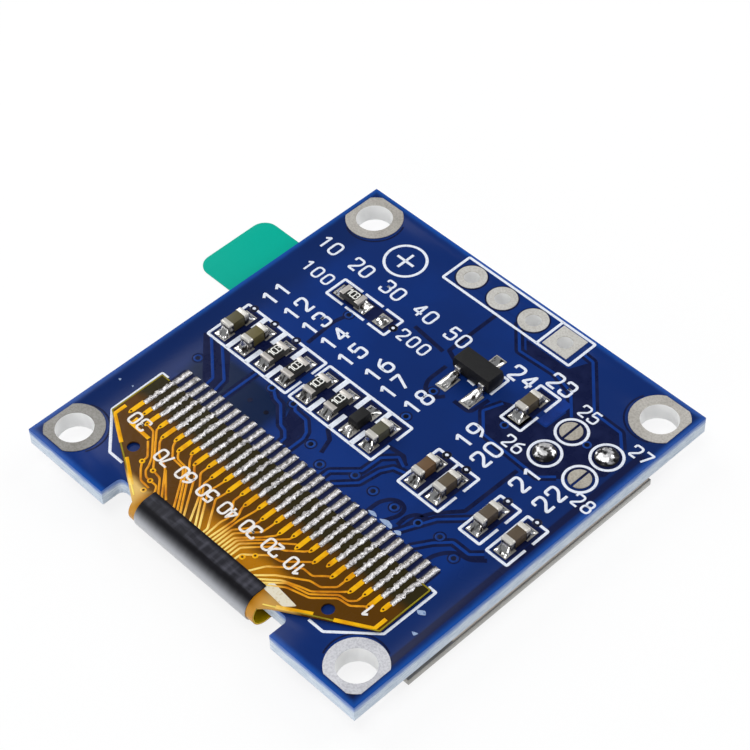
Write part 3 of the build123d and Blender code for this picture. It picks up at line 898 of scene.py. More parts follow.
def wire(name: str, routes: Sequence[Route]) -> bpy.types.Object:
    """Draws routes as bare edges, each extruded from a first point.

    Args:
        name: The object's name.
        routes: What is drawn.

    Returns:
        The object, left in edit mode with everything selected.
    """
    clear_bench()
    bpy.ops.mesh.primitive_plane_add(size=MM)
    piece = named(name)
    edit(piece)
    bpy.ops.mesh.delete(type="VERT")
    for route in routes:
        path = route.path() if route.radius else [Vector((x, y, 0)) for x, y in route.points]
        bpy.ops.mesh.select_all(action="DESELECT")
        bpy.ops.mesh.primitive_plane_add(size=MM, location=path[0] * MM)
        bpy.ops.mesh.merge(type="CENTER")
        ends = [*path[1:], path[0]] if route.closed else path[1:]
        last = path[0]
        for point in ends:
            bpy.ops.mesh.extrude_region_move(TRANSFORM_OT_translate={"value": (point - last) * MM})
            last = point
        if route.closed:
            bpy.ops.mesh.select_linked()
            bpy.ops.mesh.remove_doubles(threshold=0.001 * MM)
    bpy.ops.mesh.select_all(action="SELECT")
    return piece


@dataclass(frozen=True)
class Pen:
    """A drawn line's section: its width, its height above a level, and how finely it is rounded."""

    width: float
    height: float
    level: float
    sides: int = 1

    def draw(self, name: str, routes: Sequence[Route]) -> bpy.types.Object:
        """Draws routes as low rounded strips that stand on the pen's level.

        Args:
            name: The piece's name.
            routes: What is drawn.

        Returns:
            The piece.
        """
        piece = wire(name, routes)
        take(piece)
        bpy.ops.object.convert(target="CURVE")
        curve = bpy.context.object
        curve.data.dimensions = "3D"
        curve.data.bevel_depth = self.width / 2 * MM
        curve.data.bevel_resolution = self.sides
        curve.data.use_fill_caps = True
        bpy.ops.object.convert(target="MESH")
        piece = named(name)
        edit(piece)
        flat = 2 * self.height / self.width
        bpy.ops.transform.resize(value=(1, 1, flat), center_override=(0, 0, 0))
        bpy.ops.transform.translate(value=(0, 0, self.level * MM))
        bpy.ops.mesh.normals_make_consistent(inside=False)
        bpy.ops.object.mode_set(mode="OBJECT")
        smooth(piece, 60)
        return piece


def patch(name: str, outlines: Sequence[Route], level: float, height: float) -> bpy.types.Object:
    """Lays flat plates with given outlines on a level.

    Args:
        name: The piece's name.
        outlines: Closed routes.
        level: The plates' underside in mm.
        height: Their thickness in mm.

    Returns:
        The piece.
    """
    plates = []
    for i, outline in enumerate(outlines):
        plate = wire(f"{name}_{i}", [outline])
        bpy.ops.mesh.edge_face_add()
        bpy.ops.transform.translate(value=(0, 0, level * MM))
        bpy.ops.mesh.extrude_region_move(TRANSFORM_OT_translate={"value": (0, 0, height * MM)})
        bpy.ops.mesh.select_all(action="SELECT")
        bpy.ops.mesh.normals_make_consistent(inside=False)
        plates.append(plate)
    return joined(name, plates)


def lump(
    name: str, cells: tuple[int, int], shape: Callable[[float, float], tuple[float, float, float]], floor: float
) -> bpy.types.Object:
    """Makes a closed lump: a grid bent by a rule, its rim carried down to a flat floor.

    Args:
        name: The piece's name.
        cells: How many cells the grid has across and along.
        shape: Gives the place in mm of a grid point from its two shares, each from -1 to 1.
        floor: The level in mm at which the lump ends below.

    Returns:
        The piece.
    """
    clear_bench()
    bpy.ops.mesh.primitive_grid_add(x_subdivisions=cells[0], y_subdivisions=cells[1], size=2)
    piece = named(name)
    for corner in piece.data.vertices:
        corner.co = Vector(shape(corner.co.x, corner.co.y)) * MM
    edit(piece, Select.VERTICES, everything=False)
    bpy.ops.mesh.select_non_manifold(extend=False)
    bpy.ops.mesh.extrude_region_move(TRANSFORM_OT_translate={"value": (0, 0, -MM)})
    bpy.ops.transform.resize(value=(1, 1, 0), center_override=(0, 0, floor * MM))
    bpy.ops.transform.translate(value=(0, 0, 0))
    bpy.ops.mesh.edge_face_add()
    bpy.ops.mesh.select_all(action="SELECT")
    bpy.ops.mesh.normals_make_consistent(inside=False)
    bpy.ops.object.mode_set(mode="OBJECT")
    level_floor(piece, floor)
    smooth(piece, 50)
    return piece


def level_floor(piece: bpy.types.Object, floor: float) -> None:
    """Sets every vertex that lies below the floor on it."""
    for corner in piece.data.vertices:
        corner.co.z = max(corner.co.z, floor * MM)


def ruffle(piece: bpy.types.Object, grain: float, reach: Callable[[Vector], Vector]) -> None:
    """Moves each vertex by noise.

    Args:
        piece: The mesh.
        grain: The noise's size in mm.
        reach: Gives how far, in mm along each axis, a place in mm may move.
    """
    for corner in piece.data.vertices:
        place = corner.co / MM
        wave = noise.noise_vector(place / grain)
        far = reach(place)
        corner.co += Vector((wave.x * far.x, wave.y * far.y, wave.z * far.z)) * MM


@dataclass(frozen=True)
class Digits:
    """Plain numbers drawn as strokes in a box one unit high."""

    wide: float = 0.6
    strokes: dict[str, Sequence[Route]] = field(
        default_factory=lambda: {
            "0": [Route([(0, 0), (0.6, 0), (0.6, 1), (0, 1)], 0.28, True)],
            "1": [Route([(0.08, 0.76), (0.36, 1), (0.36, 0)])],
            "2": [Route([(0, 0.7), (0, 1), (0.6, 1), (0.6, 0.58), (0, 0), (0.62, 0)], 0.22)],
            "3": [
                Route([(0, 0.78), (0, 1), (0.58, 1), (0.58, 0.54), (0.24, 0.54)], 0.22),
                Route([(0.24, 0.54), (0.6, 0.54), (0.6, 0), (0, 0), (0, 0.24)], 0.22),
            ],
            "4": [Route([(0.44, 0), (0.44, 1), (0, 0.3), (0.64, 0.3)])],
            "5": [
                Route([(0.56, 1), (0.06, 1), (0.03, 0.56)]),
                Route([(0.03, 0.56), (0.6, 0.64), (0.6, 0), (0, 0), (0, 0.2)], 0.22),
            ],
            "6": [
                Route([(0, 0), (0.6, 0), (0.6, 0.58), (0, 0.58)], 0.26, True),
                Route([(0, 0.3), (0, 0.74), (0.46, 1)], 0.22),
            ],
            "7": [Route([(0, 1), (0.6, 1), (0.2, 0)])],
            "8": [
                Route([(0.05, 0.54), (0.55, 0.54), (0.55, 1), (0.05, 1)], 0.22, True),
                Route([(0, 0), (0.6, 0), (0.6, 0.54), (0, 0.54)], 0.24, True),
            ],
            "9": [
                Route([(0, 0.42), (0.6, 0.42), (0.6, 1), (0, 1)], 0.26, True),
                Route([(0.6, 0.7), (0.6, 0.26), (0.14, 0)], 0.22),
            ],
        }
    )

    def patterns(self, pen: Pen, height: float) -> dict[str, bpy.types.Object]:
        """Models each digit once, centred on the origin.

        Args:
            pen: The strokes' section.
            height: The digits' height in mm.

        Returns:
            The ten pieces by digit.
        """
        made = {}
        for digit, strokes in self.strokes.items():
            routes = [
                Route(
                    [((x - self.wide / 2) * height, (y - 0.5) * height) for x, y in stroke.points],
                    stroke.radius * height,
                    stroke.closed,
                )
                for stroke in strokes
            ]
            made[digit] = pen.draw(f"digit_{digit}", routes)
        return made


@dataclass(frozen=True)
class Label:
    """A number printed on the part: its digits, its middle in mm, its turn and how far apart the digits are."""

    text: str
    x: float
    y: float
    turn: float = 0.0
    pitch: float = 1.08

    def set(self, patterns: dict[str, bpy.types.Object]) -> list[bpy.types.Object]:
        """Sets copies of the digits in a line, leaving spaces free.

        Args:
            patterns: The digits as modelled.

        Returns:
            The copies.
        """
        angle = math.radians(self.turn)
        placed = []
        for i, digit in enumerate(self.text):
            if digit != " ":
                along = (i - (len(self.text) - 1) / 2) * self.pitch
                place = (self.x + along * math.cos(angle), self.y + along * math.sin(angle), 0)
                placed.append(copied(patterns[digit], place, self.turn))
        return placed


def print_labels(name: str, labels: Sequence[Label], pen: Pen, height: float) -> bpy.types.Object:
    """Prints labels as one piece.

    Args:
        name: The piece's name.
        labels: What is printed.
        pen: The strokes' section.
        height: The digits' height in mm.

    Returns:
        The piece.
    """
    patterns = Digits().patterns(pen, height)
    placed = [copy for label in labels for copy in label.set(patterns)]
    dismiss(patterns.values())
    return joined(name, placed)


def middle(node: str) -> Vector:
    """Gives the middle of a CAD node's box in mm."""
    low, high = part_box(node)
    return (low + high) / 2 / MM


def span(node: str) -> Vector:
    """Gives the size of a CAD node's box in mm."""
    low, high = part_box(node)
    return (high - low) / MM


# The palette of finishes that several sub-assemblies share.

LEAD_TIN = Metal("lead_tin", srgb(226, 224, 220), srgb(170, 168, 162), 0.2)
GOLD = FilmCopper("contact_gold", srgb(250, 188, 14), srgb(226, 152, 8), srgb(255, 236, 150), -11.4, -12.6)
TRACK_GOLD = FilmCopper("film_track", srgb(232, 158, 26), srgb(196, 116, 14), srgb(255, 226, 124), -9.9, -11.3, -2.2, 5.4)


@dataclass(frozen=True)
class Level:
    """How high each printed layer of the board stands, in mm above the laminate."""

    pour: float = 0.0
    bare: float = 0.002
    track: float = 0.006
    via: float = 0.01
    ink: float = 0.006


@dataclass
class BoardFace:
    """The laminate with its copper pattern under the mask and its white print."""

    size: Vector = field(default_factory=lambda: span("circuit_board"))
    level: Level = Level()
    line: float = 0.18
    ink_height: float = 0.022
    gap: float = 0.28
    track: float = 0.24
    row_low: float = -1.70
    row_high: float = 1.57
    divider: float = 0.36
    via_ring: float = 0.21
    jumper_ring: float = 0.95

    tracks: Sequence[Route] = (
        Route([(-11.35, -1.75), (-8.85, -3.85), (-8.75, -4.5)]),
        Route([(-10.4, -1.75), (-8.25, -3.5), (-8.05, -4.5)]),
        Route([(-7.3, -1.75), (-7.3, -4.5)]),
        Route([(-5.85, -1.85), (-5.1, -2.35), (-4.55, -2.45), (-3.4, -3.5), (-2.95, -3.6), (-2.5, -4.0), (-2.45, -4.5)]),
        Route([(-4.05, -1.8), (-3.6, -2.2), (-2.65, -2.25), (-1.95, -2.85), (-1.75, -3.3), (-1.75, -4.5)]),
        Route([(1.05, -4.5), (1.05, -3.9), (2.35, -2.6), (2.4, -1.2), (3.1, -0.45), (3.8, -0.75)]),
        Route([(1.75, -4.5), (2.85, -3.3), (3.05, -1.9), (3.45, -1.2), (4.2, -1.0)]),
        Route([(6.65, -4.5), (7.05, -3.6), (7.75, -2.1), (9.2, -0.6)]),
        Route([(8.05, -4.5), (8.75, -3.4), (9.5, -2.6), (10.7, -2.6), (11.3, -2.0)]),
        Route([(4.5, 6.55), (4.05, 5.35), (5.3, 4.1), (9.6, 3.95), (10.35, 4.7)]),
        Route([(0.75, 11.8), (2.35, 10.15), (5.0, 10.3), (6.65, 9.9), (8.0, 8.5)]),
        Route([(5.3, 12.55), (6.0, 12.5), (8.7, 9.65), (10.75, 9.6), (11.65, 8.7)]),
    )
    slits: Sequence[Route] = (
        Route([(-0.6, 11.3), (-0.6, 7.3), (0.4, 6.9)]),
        Route([(-3.4, 7.25), (-0.8, 7.0)]),
        Route([(0.15, 6.3), (0.15, 4.8), (0.5, 4.2), (1.25, 3.95), (1.75, 4.6)], 0.3),
        Route([(2.35, 4.7), (3.6, 4.7), (3.75, 6.15)], 0.3),
        Route([(2.15, -0.3), (3.25, -0.2), (3.8, -0.65)]),
        Route([(8.5, 3.5), (8.45, -0.6), (7.3, -1.95), (6.95, -2.65), (6.8, -4.3)]),
        Route([(4.6, -4.4), (4.6, -3.5), (4.95, -2.85), (5.5, -2.6), (6.05, -2.85), (6.1, -3.4), (5.75, -4.2)], 0.3),
        Route([(6.5, -3.9), (6.45, -3.1), (6.8, -2.55), (7.4, -2.45)], 0.3),
        Route([(9.35, -5.4), (9.35, -4.1), (9.7, -3.4), (10.2, -2.95), (11.0, -2.85), (11.7, -2.2)], 0.3),
        Route([(-6.9, 4.9), (-7.1, 4.2), (-6.95, 1.9)], 0.3),
        Route([(-1.3, -1.8), (-0.6, -2.3), (-0.25, -3.3)]),
    )
    bare_areas: Sequence[Route] = (
        Route([(-10.5, -6.1), (10.5, -6.1), (10.5, -4.5), (-10.5, -4.5)], 0.1, True),
        Route([(4.25, 6.6), (4.2, 5.4), (5.4, 4.2), (9.9, 4.1), (10.9, 5.0), (12.3, 6.6), (12.2, 8.2), (10.8, 9.4),
               (8.6, 9.5), (5.9, 12.3), (5.35, 11.1), (2.0, 11.1), (2.9, 10.2), (5.1, 10.2), (6.6, 9.75), (7.55, 8.7),
               (7.5, 6.9), (4.9, 6.9)], 0.15, True),
        Route([(-12.0, -1.8), (-9.2, -4.35), (-7.75, -4.35), (-8.0, -3.4), (-9.6, -1.8)], 0.15, True),
        Route([(-3.9, -2.3), (-2.7, -2.4), (-2.1, -3.0), (-1.95, -4.35), (-2.3, -4.35), (-2.4, -3.9), (-2.9, -3.45),
               (-3.4, -3.35)], 0.15, True),
    )
    vias: Sequence[Point] = (
        (-10.65, -3.42), (-1.13, -3.27), (0.32, -3.95), (2.31, -3.08), (3.83, -3.17), (5.5, -3.15), (7.2, -3.0),
        (8.74, -2.84), (10.3, -3.36), (1.24, 1.95), (-6.84, 5.16), (0.99, 4.4), (5.68, 5.42), (10.0, 7.62),
        (-5.83, -1.95), (-4.04, -1.92),
    )
    covered_vias: Sequence[Point] = ((-6.05, -3.47), (-4.68, -3.46))
    inked_vias: Sequence[Point] = (
        (-11.24, 1.55), (-9.43, 1.55), (-7.55, 1.55), (4.92, 1.55), (6.44, 1.55), (9.66, 1.55), (11.83, 1.6),
        (-4.2, 6.24),
    )

    def cells(self) -> list[tuple[float, float, float, float]]:
        """Gives the printed boxes round the parts, each as left, right, low and high in mm."""
        low, high = self.row_low, self.row_high
        return [
            (-11.74, -4.99, low, high), (-4.67, 2.13, low, high), (4.28, 7.42, low, high), (9.08, 10.62, low, high),
            (11.15, 12.68, low, high), (5.08, 6.63, 5.72, 9.07), (-9.13, -4.20, 5.47, 7.05),
        ]

    def lay_copper(self) -> None:
        """Lays the bare areas, the slits in the pour, the tracks and the vias under the mask."""
        bare = MaskedCopper("mask_over_laminate", srgb(15, 23, 60), srgb(22, 30, 68), mottle=1.2).material()
        track = MaskedCopper("mask_over_track", srgb(18, 58, 136), srgb(16, 52, 126)).material()
        pour = MaskedCopper("mask_over_pour", srgb(27, 52, 122), srgb(24, 58, 140)).material()
        inset = self.line
        areas = list(self.bare_areas)
        for left, right, low, high in self.cells():
            corners = [(left + inset, low + inset), (right - inset, low + inset), (right - inset, high - inset)]
            areas.append(Route([*corners, (left + inset, high - inset)], 0.05, True))
        show(patch("bare_areas", areas, 0, self.level.bare), bare, "board")
        edges = Pen(self.gap, self.level.bare + 0.002, 0).draw("slits", self.slits)
        show(edges, bare, "board")
        rims = [circle(c.x, c.y, 1.0) for c in (middle(f"header_ring_{i}") for i in range(1, 4))]
        for i in range(1, 5):
            spot = middle(f"mounting_ring_{i}")
            inward = math.atan2(-spot.y, -spot.x)
            turns = [inward + math.radians(k * 8 - 72) for k in range(19)]
            rims.append(Route([(spot.x + 1.84 * math.cos(t), spot.y + 1.84 * math.sin(t)) for t in turns], 0.02))
        show(Pen(0.12, self.level.bare + 0.002, 0).draw("ring_rims", rims), bare, "board")
        beds = Pen(self.track + 0.34, self.level.bare + 0.001, 0).draw("track_beds", self.tracks)
        show(beds, bare, "board")
        copper = patch("regulated_pad", [Route([(6.75, 7.0), (7.4, 7.0), (7.45, 9.2), (6.75, 9.2)], 0.1, True)],
                       self.level.bare, 0.003)
        show(copper, pour, "board")
        show(Pen(self.track, self.level.track, 0).draw("tracks", self.tracks), track, "board")
        self.drill_vias(track, bare)

    def drill_vias(self, track: bpy.types.Material, bare: bpy.types.Material) -> None:
        """Sets a ring at each via, with a dark disc in its hole as painted shade.

        Args:
            track: Not used.
            bare: The mask over the laminate, for the dark halo round each via.
        """
        ring = Pen(0.13, 0.012, 0, 2).draw("via_ring", [circle(0, 0, self.via_ring, 20)])
        hole_disc = lump("via_hole_disc", (5, 5), lambda u, v: self.dish(u, v, 0.16, 0.014), 0.0)
        spots = [*self.vias, *self.covered_vias, *self.inked_vias]
        rings = [copied(ring, (x, y, self.level.bare)) for x, y in [*self.vias, *self.inked_vias]]
        halo = Pen(0.09, self.level.bare + 0.003, 0).draw("via_halos", [circle(x, y, 0.34, 20) for x, y in self.vias])
        show(halo, bare, "board")
        hole_discs = [copied(hole_disc, (x, y, 0)) for x, y in spots]
        lit = MaskedCopper("mask_over_ring", srgb(24, 66, 142), srgb(18, 52, 120)).material()
        show(joined("via_rings", rings), lit, "board")
        # Painted shade: a near-black disc stands in for the shade down each via's hole.
        dark = MaskedCopper("via_hole_dark", srgb(14, 15, 30), srgb(30, 34, 60), 0.2).material()
        show(joined("via_hole_discs", hole_discs), dark, "board")
        # A dark ring of the same colour round the ink at each inked via.
        cover = Pen(0.2, 0.03, 0, 2).draw("via_collar", [circle(0, 0, 0.19, 20)])
        collars = joined("via_collars", [copied(cover, (x, y, 0)) for x, y in self.inked_vias])
        show(collars, dark, "board")
        dismiss([ring, hole_disc, cover])

    @staticmethod
    def dish(u: float, v: float, radius: float, height: float) -> tuple[float, float, float]:
        """Gives a place on a low round dome from two shares of a square grid."""
        x, y = round_share(u, v)
        return radius * x, radius * y, height * (1.02 - 0.3 * (x * x + y * y))

    def outline_routes(self) -> list[Route]:
        """Gives the thin printed lines: boxes with their gaps, the header's frame and the ribbon's."""
        low, high = self.row_low, self.row_high
        gap_low, gap_high = -0.25, 0.32
        routes = [
            Route([(-4.99, 0.4), (-4.99, high), (-11.74, high), (-11.74, low), (-4.99, low), (-4.99, -0.45)]),
            Route([(2.13, gap_high), (2.13, high), (-4.67, high), (-4.67, 0.4)]),
            Route([(-4.67, -0.45), (-4.67, low), (2.13, low), (2.13, gap_low)]),
            Route([(5.85, low), (5.85, high)]),
            Route([(-5.08, 11.3), (5.18, 11.3), (5.18, 13.6), (-5.08, 13.6)], closed=True),
            Route([(2.62, 11.3), (2.62, 13.6)]),
            Route([(-7.6, 7.05), (-9.13, 7.05), (-9.13, 5.47), (-7.72, 5.47)]),
            Route([(-7.35, 7.05), (-5.85, 7.05)]),
            Route([(-7.48, 5.47), (-5.9, 5.47)]),
            Route([(-5.58, 7.05), (-4.2, 7.05), (-4.2, 6.5)]),
            Route([(-5.56, 5.47), (-4.2, 5.47), (-4.2, 6.0)]),
            Route([(1.81, 6.42), (2.35, 6.38)]),
            Route([(3.13, 8.04), (3.5, 8.04), (3.5, 6.51)]),
        ]
        for left, right, bottom, top in self.cells()[2:6]:
            lift = bottom - low
            routes.append(
                Route([(right, gap_high + lift), (right, top), (left, top), (left, bottom), (right, bottom),
                       (right, gap_low + lift)])
            )
        for side in (-1, 1):
            routes.append(
                Route([(10.7 * side, -5.66), (11.24 * side, -5.66), (11.2 * side, -9.5), (8.8 * side, -11.67),
                       (7.7 * side, -11.67)])
            )
        jumpers = [(8.75, 7.72), (8.75, 5.5), (11.42, 7.72), (11.4, 5.5)]
        routes += [circle(x, y, self.jumper_ring, 40) for x, y in jumpers]
        return routes

    def divider_routes(self) -> list[Route]:
        """Gives the thick printed bars between neighbours in the row."""
        routes = []
        for x in (-10.10, -8.42, -6.67, -3.08, -1.28, 0.44):
            routes += [Route([(x, self.row_low), (x, -0.42)]), Route([(x, 0.38), (x, self.row_high)])]
        return routes

    def emblem_routes(self) -> list[Route]:
        """Gives a plain ring with a plus sign in it."""
        x, y, radius, arm = -7.64, 10.66, 1.31, 0.68
        return [
            circle(x, y, radius, 48), Route([(x - arm, y), (x + arm, y)]), Route([(x, y - arm), (x, y + arm)]),
        ]

    def labels(self) -> list[Label]:
        """Gives the plain numbers beside the parts, counted along the row and then by group."""
        row = [(-11.2, 3.3), (-9.36, 3.35), (-7.72, 3.3), (-6.05, 3.25), (-4.38, 3.05), (-2.42, 3.35),
               (-0.83, 3.05), (0.97, 3.2), (4.82, 3.5), (6.5, 3.16), (9.3, 3.35), (11.19, 3.25)]
        made = [Label(str(11 + i), x, y, 90, 1.02) for i, (x, y) in enumerate(row)]
        return [*made, Label("23", 5.95, 9.92, 0, 1.0), Label("24", 3.92, 8.8, 0, 1.0)]

    def small_labels(self) -> list[Label]:
        """Gives the smaller numbers: at the jumpers, at the select pads and along the upper edge."""
        spots = [(8.6, 9.38), (7.02, 4.76), (12.66, 9.2), (12.7, 4.34)]
        made = [Label(str(25 + i), x, y, 0, 0.76) for i, (x, y) in enumerate(spots)]
        return [*made, Label("100", -10.75, 6.29, 0, 0.86), Label("200", -2.55, 6.3, 0, 0.86)]

    def print_ink(self) -> None:
        """Prints the white lines, bars, emblem and numbers."""
        ink = Ink().material()
        pen = Pen(self.line, self.ink_height, 0)
        show(pen.draw("print_lines", self.outline_routes()), ink, "board")
        show(Pen(self.divider, self.ink_height, 0).draw("print_bars", self.divider_routes()), ink, "board")
        show(pen.draw("print_emblem", self.emblem_routes()), ink, "board")
        title = [Label("10 20 30 40 50", -6.4, 8.4, 0, 0.91)]
        for name, labels, line, height in (
            ("print_numbers", self.labels(), 0.18, 1.08),
            ("print_small_numbers", self.small_labels(), 0.14, 0.84),
            ("print_upper_numbers", title, 0.155, 0.98),
        ):
            show(print_labels(name, labels, Pen(line, self.ink_height, 0), height), ink, "board")
        dot = lump("ink_dot", (5, 5), lambda u, v: self.dish(u, v, 0.1, 0.04), 0.0)
        show(joined("print_dots", [copied(dot, (x, y, 0)) for x, y in self.inked_vias]), ink, "board")
        dismiss([dot])
        self.leave_flux()

    def leave_flux(self) -> None:
        """Leaves the pale flux residue beside the ribbon's joints and a few specks of dust."""
        smears = [
            Route([(4.55, -4.32), (4.95, -4.12), (5.35, -4.3), (5.0, -4.42)], 0.12, True),
            Route([(5.45, -4.3), (5.9, -4.02), (6.35, -4.12), (6.5, -4.36), (5.9, -4.38)], 0.12, True),
            Route([(6.6, -4.3), (6.95, -4.05), (7.2, -4.3), (6.9, -4.42)], 0.12, True),
            Route([(-12.75, -7.75), (-12.6, -7.6), (-12.55, -7.78)], 0.05, True),
            Route([(-11.78, -7.55), (-11.66, -7.45), (-11.62, -7.6)], 0.05, True),
            Route([(11.3, -7.2), (11.7, -6.9), (11.95, -7.1), (11.6, -7.35)], 0.1, True),
            Route([(12.1, -8.35), (12.5, -8.2), (12.4, -8.5)], 0.08, True),
        ]
        residue = Ink("flux_residue", srgb(150, 172, 206), srgb(92, 120, 172)).material()
        show(patch("flux_marks", smears, 0, 0.02), residue, "board")

    def build(self) -> None:
        """Dresses the laminate and lays all that is on it."""
        mask = MaskedBoard(self.size.x, self.size.y, self.size.z).material()
        dress("circuit_board", mask, 0.03)
        self.lay_copper()
        self.print_ink()


def round_share(u: float, v: float) -> tuple[float, float]:
    """Maps two shares of a square, each from -1 to 1, onto a disc of radius 1."""
    return u * math.sqrt(1 - v * v / 2), v * math.sqrt(1 - u * u / 2)


@dataclass
class Pads:
    """The tinned rings, lands and jumper pads, and the solder on the jumpers."""

    land_top: float = 0.04
    bridge_radius: float = 0.71
    bridge_height: float = 0.34
    dome_radius: float = 0.42
    dome_height: float = 0.22

    def drop(self, name: str, node: str, radius: float, height: float) -> bpy.types.Object:
        """Models a drop of solder over a node's middle.

        Args:
            name: The piece's name.
            node: The CAD node that it replaces.
            radius: Its radius in mm.
            height: Its height in mm.

        Returns:
            The piece.
        """
        spot = middle(node)

        def shape(u: float, v: float) -> tuple[float, float, float]:
            """Gives a place on a round drop."""
            x, y = round_share(u, v)
            swell = max(1 - x * x - y * y, 0)
            return spot.x + radius * x, spot.y + radius * y, self.land_top + height * swell**0.62

        piece = lump(name, (26, 26), shape, self.land_top)
        ruffle(piece, 0.5, lambda p: Vector((0.04, 0.04, 0.07)) if p.z > self.land_top + 0.03 else Vector())
        level_floor(piece, self.land_top)
        return piece

    def build(self) -> None:
        """Dresses the tinned copper and sets the drops."""
        tin = PlatedTin().material()
        clean = PlatedTin("clean_tin", srgb(234, 232, 226), srgb(208, 204, 197)).material()
        warm = PlatedTin("warm_tin", srgb(206, 200, 188), srgb(170, 162, 148)).material()
        # Painted light and shade: one copy of the tin for each mounting ring, darkest at the -X-Y corner and brightest
        # at +X-Y.
        plating = {
            (-1, -1): PlatedTin("shaded_corner_tin", srgb(156, 154, 150), srgb(134, 131, 125)),
            (-1, 1): PlatedTin("half_shaded_corner_tin", srgb(206, 202, 195), srgb(177, 172, 164)),
            (1, 1): PlatedTin("half_lit_corner_tin", srgb(216, 212, 205), srgb(186, 181, 173)),
            (1, -1): PlatedTin("lit_corner_tin", srgb(228, 228, 232), srgb(196, 196, 202)),
        }
        for i in range(1, 5):
            low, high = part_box(f"mounting_ring_{i}")
            corner = (1 if low.x + high.x > 0 else -1, 1 if low.y + high.y > 0 else -1)
            dress(f"mounting_ring_{i}", plating[corner].material(), 0.0, 25)
            dress(f"header_ring_{i}", clean, 0.0, 25)
        dress("jumper_pads", warm, 0.0, 25)
        dress("solder_lands", PlatedTin("land_tin", lap=0.205).material(), 0.0, 25)
        cap = CappedSolder(self.land_top + 0.17, self.land_top + 0.31).material()
        for i in (1, 2):
            node = f"solder_bridge_{i}"
            show(self.drop(f"jumper_drop_{i}", node, self.bridge_radius, self.bridge_height), cap, "solder", node)
        drop = self.drop("select_drop", "select_solder", self.dome_radius, self.dome_height)
        solder = ReflowedSolder("select_drop_solder", dark=srgb(150, 146, 142)).material()
        show(drop, solder, "solder", "select_solder")


@dataclass(frozen=True)
class Meniscus:
    """A solder fillet that climbs a metal end: its run, its climb and its two half widths, in mm."""

    run: float
    climb: float
    foot: float
    top: float
    hollow: float = 2.3
    tuck: float = 0.03

    def model(self, name: str, floor: float) -> bpy.types.Object:
        """Models the fillet beside the origin, running out along +Y.

        Args:
            name: The piece's name.
            floor: The land's upper face in mm.

        Returns:
            The piece.
        """

        def shape(u: float, v: float) -> tuple[float, float, float]:
            """Gives a place on a surface that is hollow outwards and rounded at its sides."""
            out = (v + 1) / 2
            half = self.top + (self.foot - self.top) * max(out, 0) ** 0.55
            side = max(1 - abs(u) ** (7 - 4.5 * out), 0) ** 0.55
            rise = self.climb * max(1 - out, 0) ** self.hollow + 0.05 * (1 - out**6)
            return u * half * (1 - 0.06 * out**8), out * self.run - self.tuck, floor + rise * side

        return lump(name, (12, 14), shape, floor)


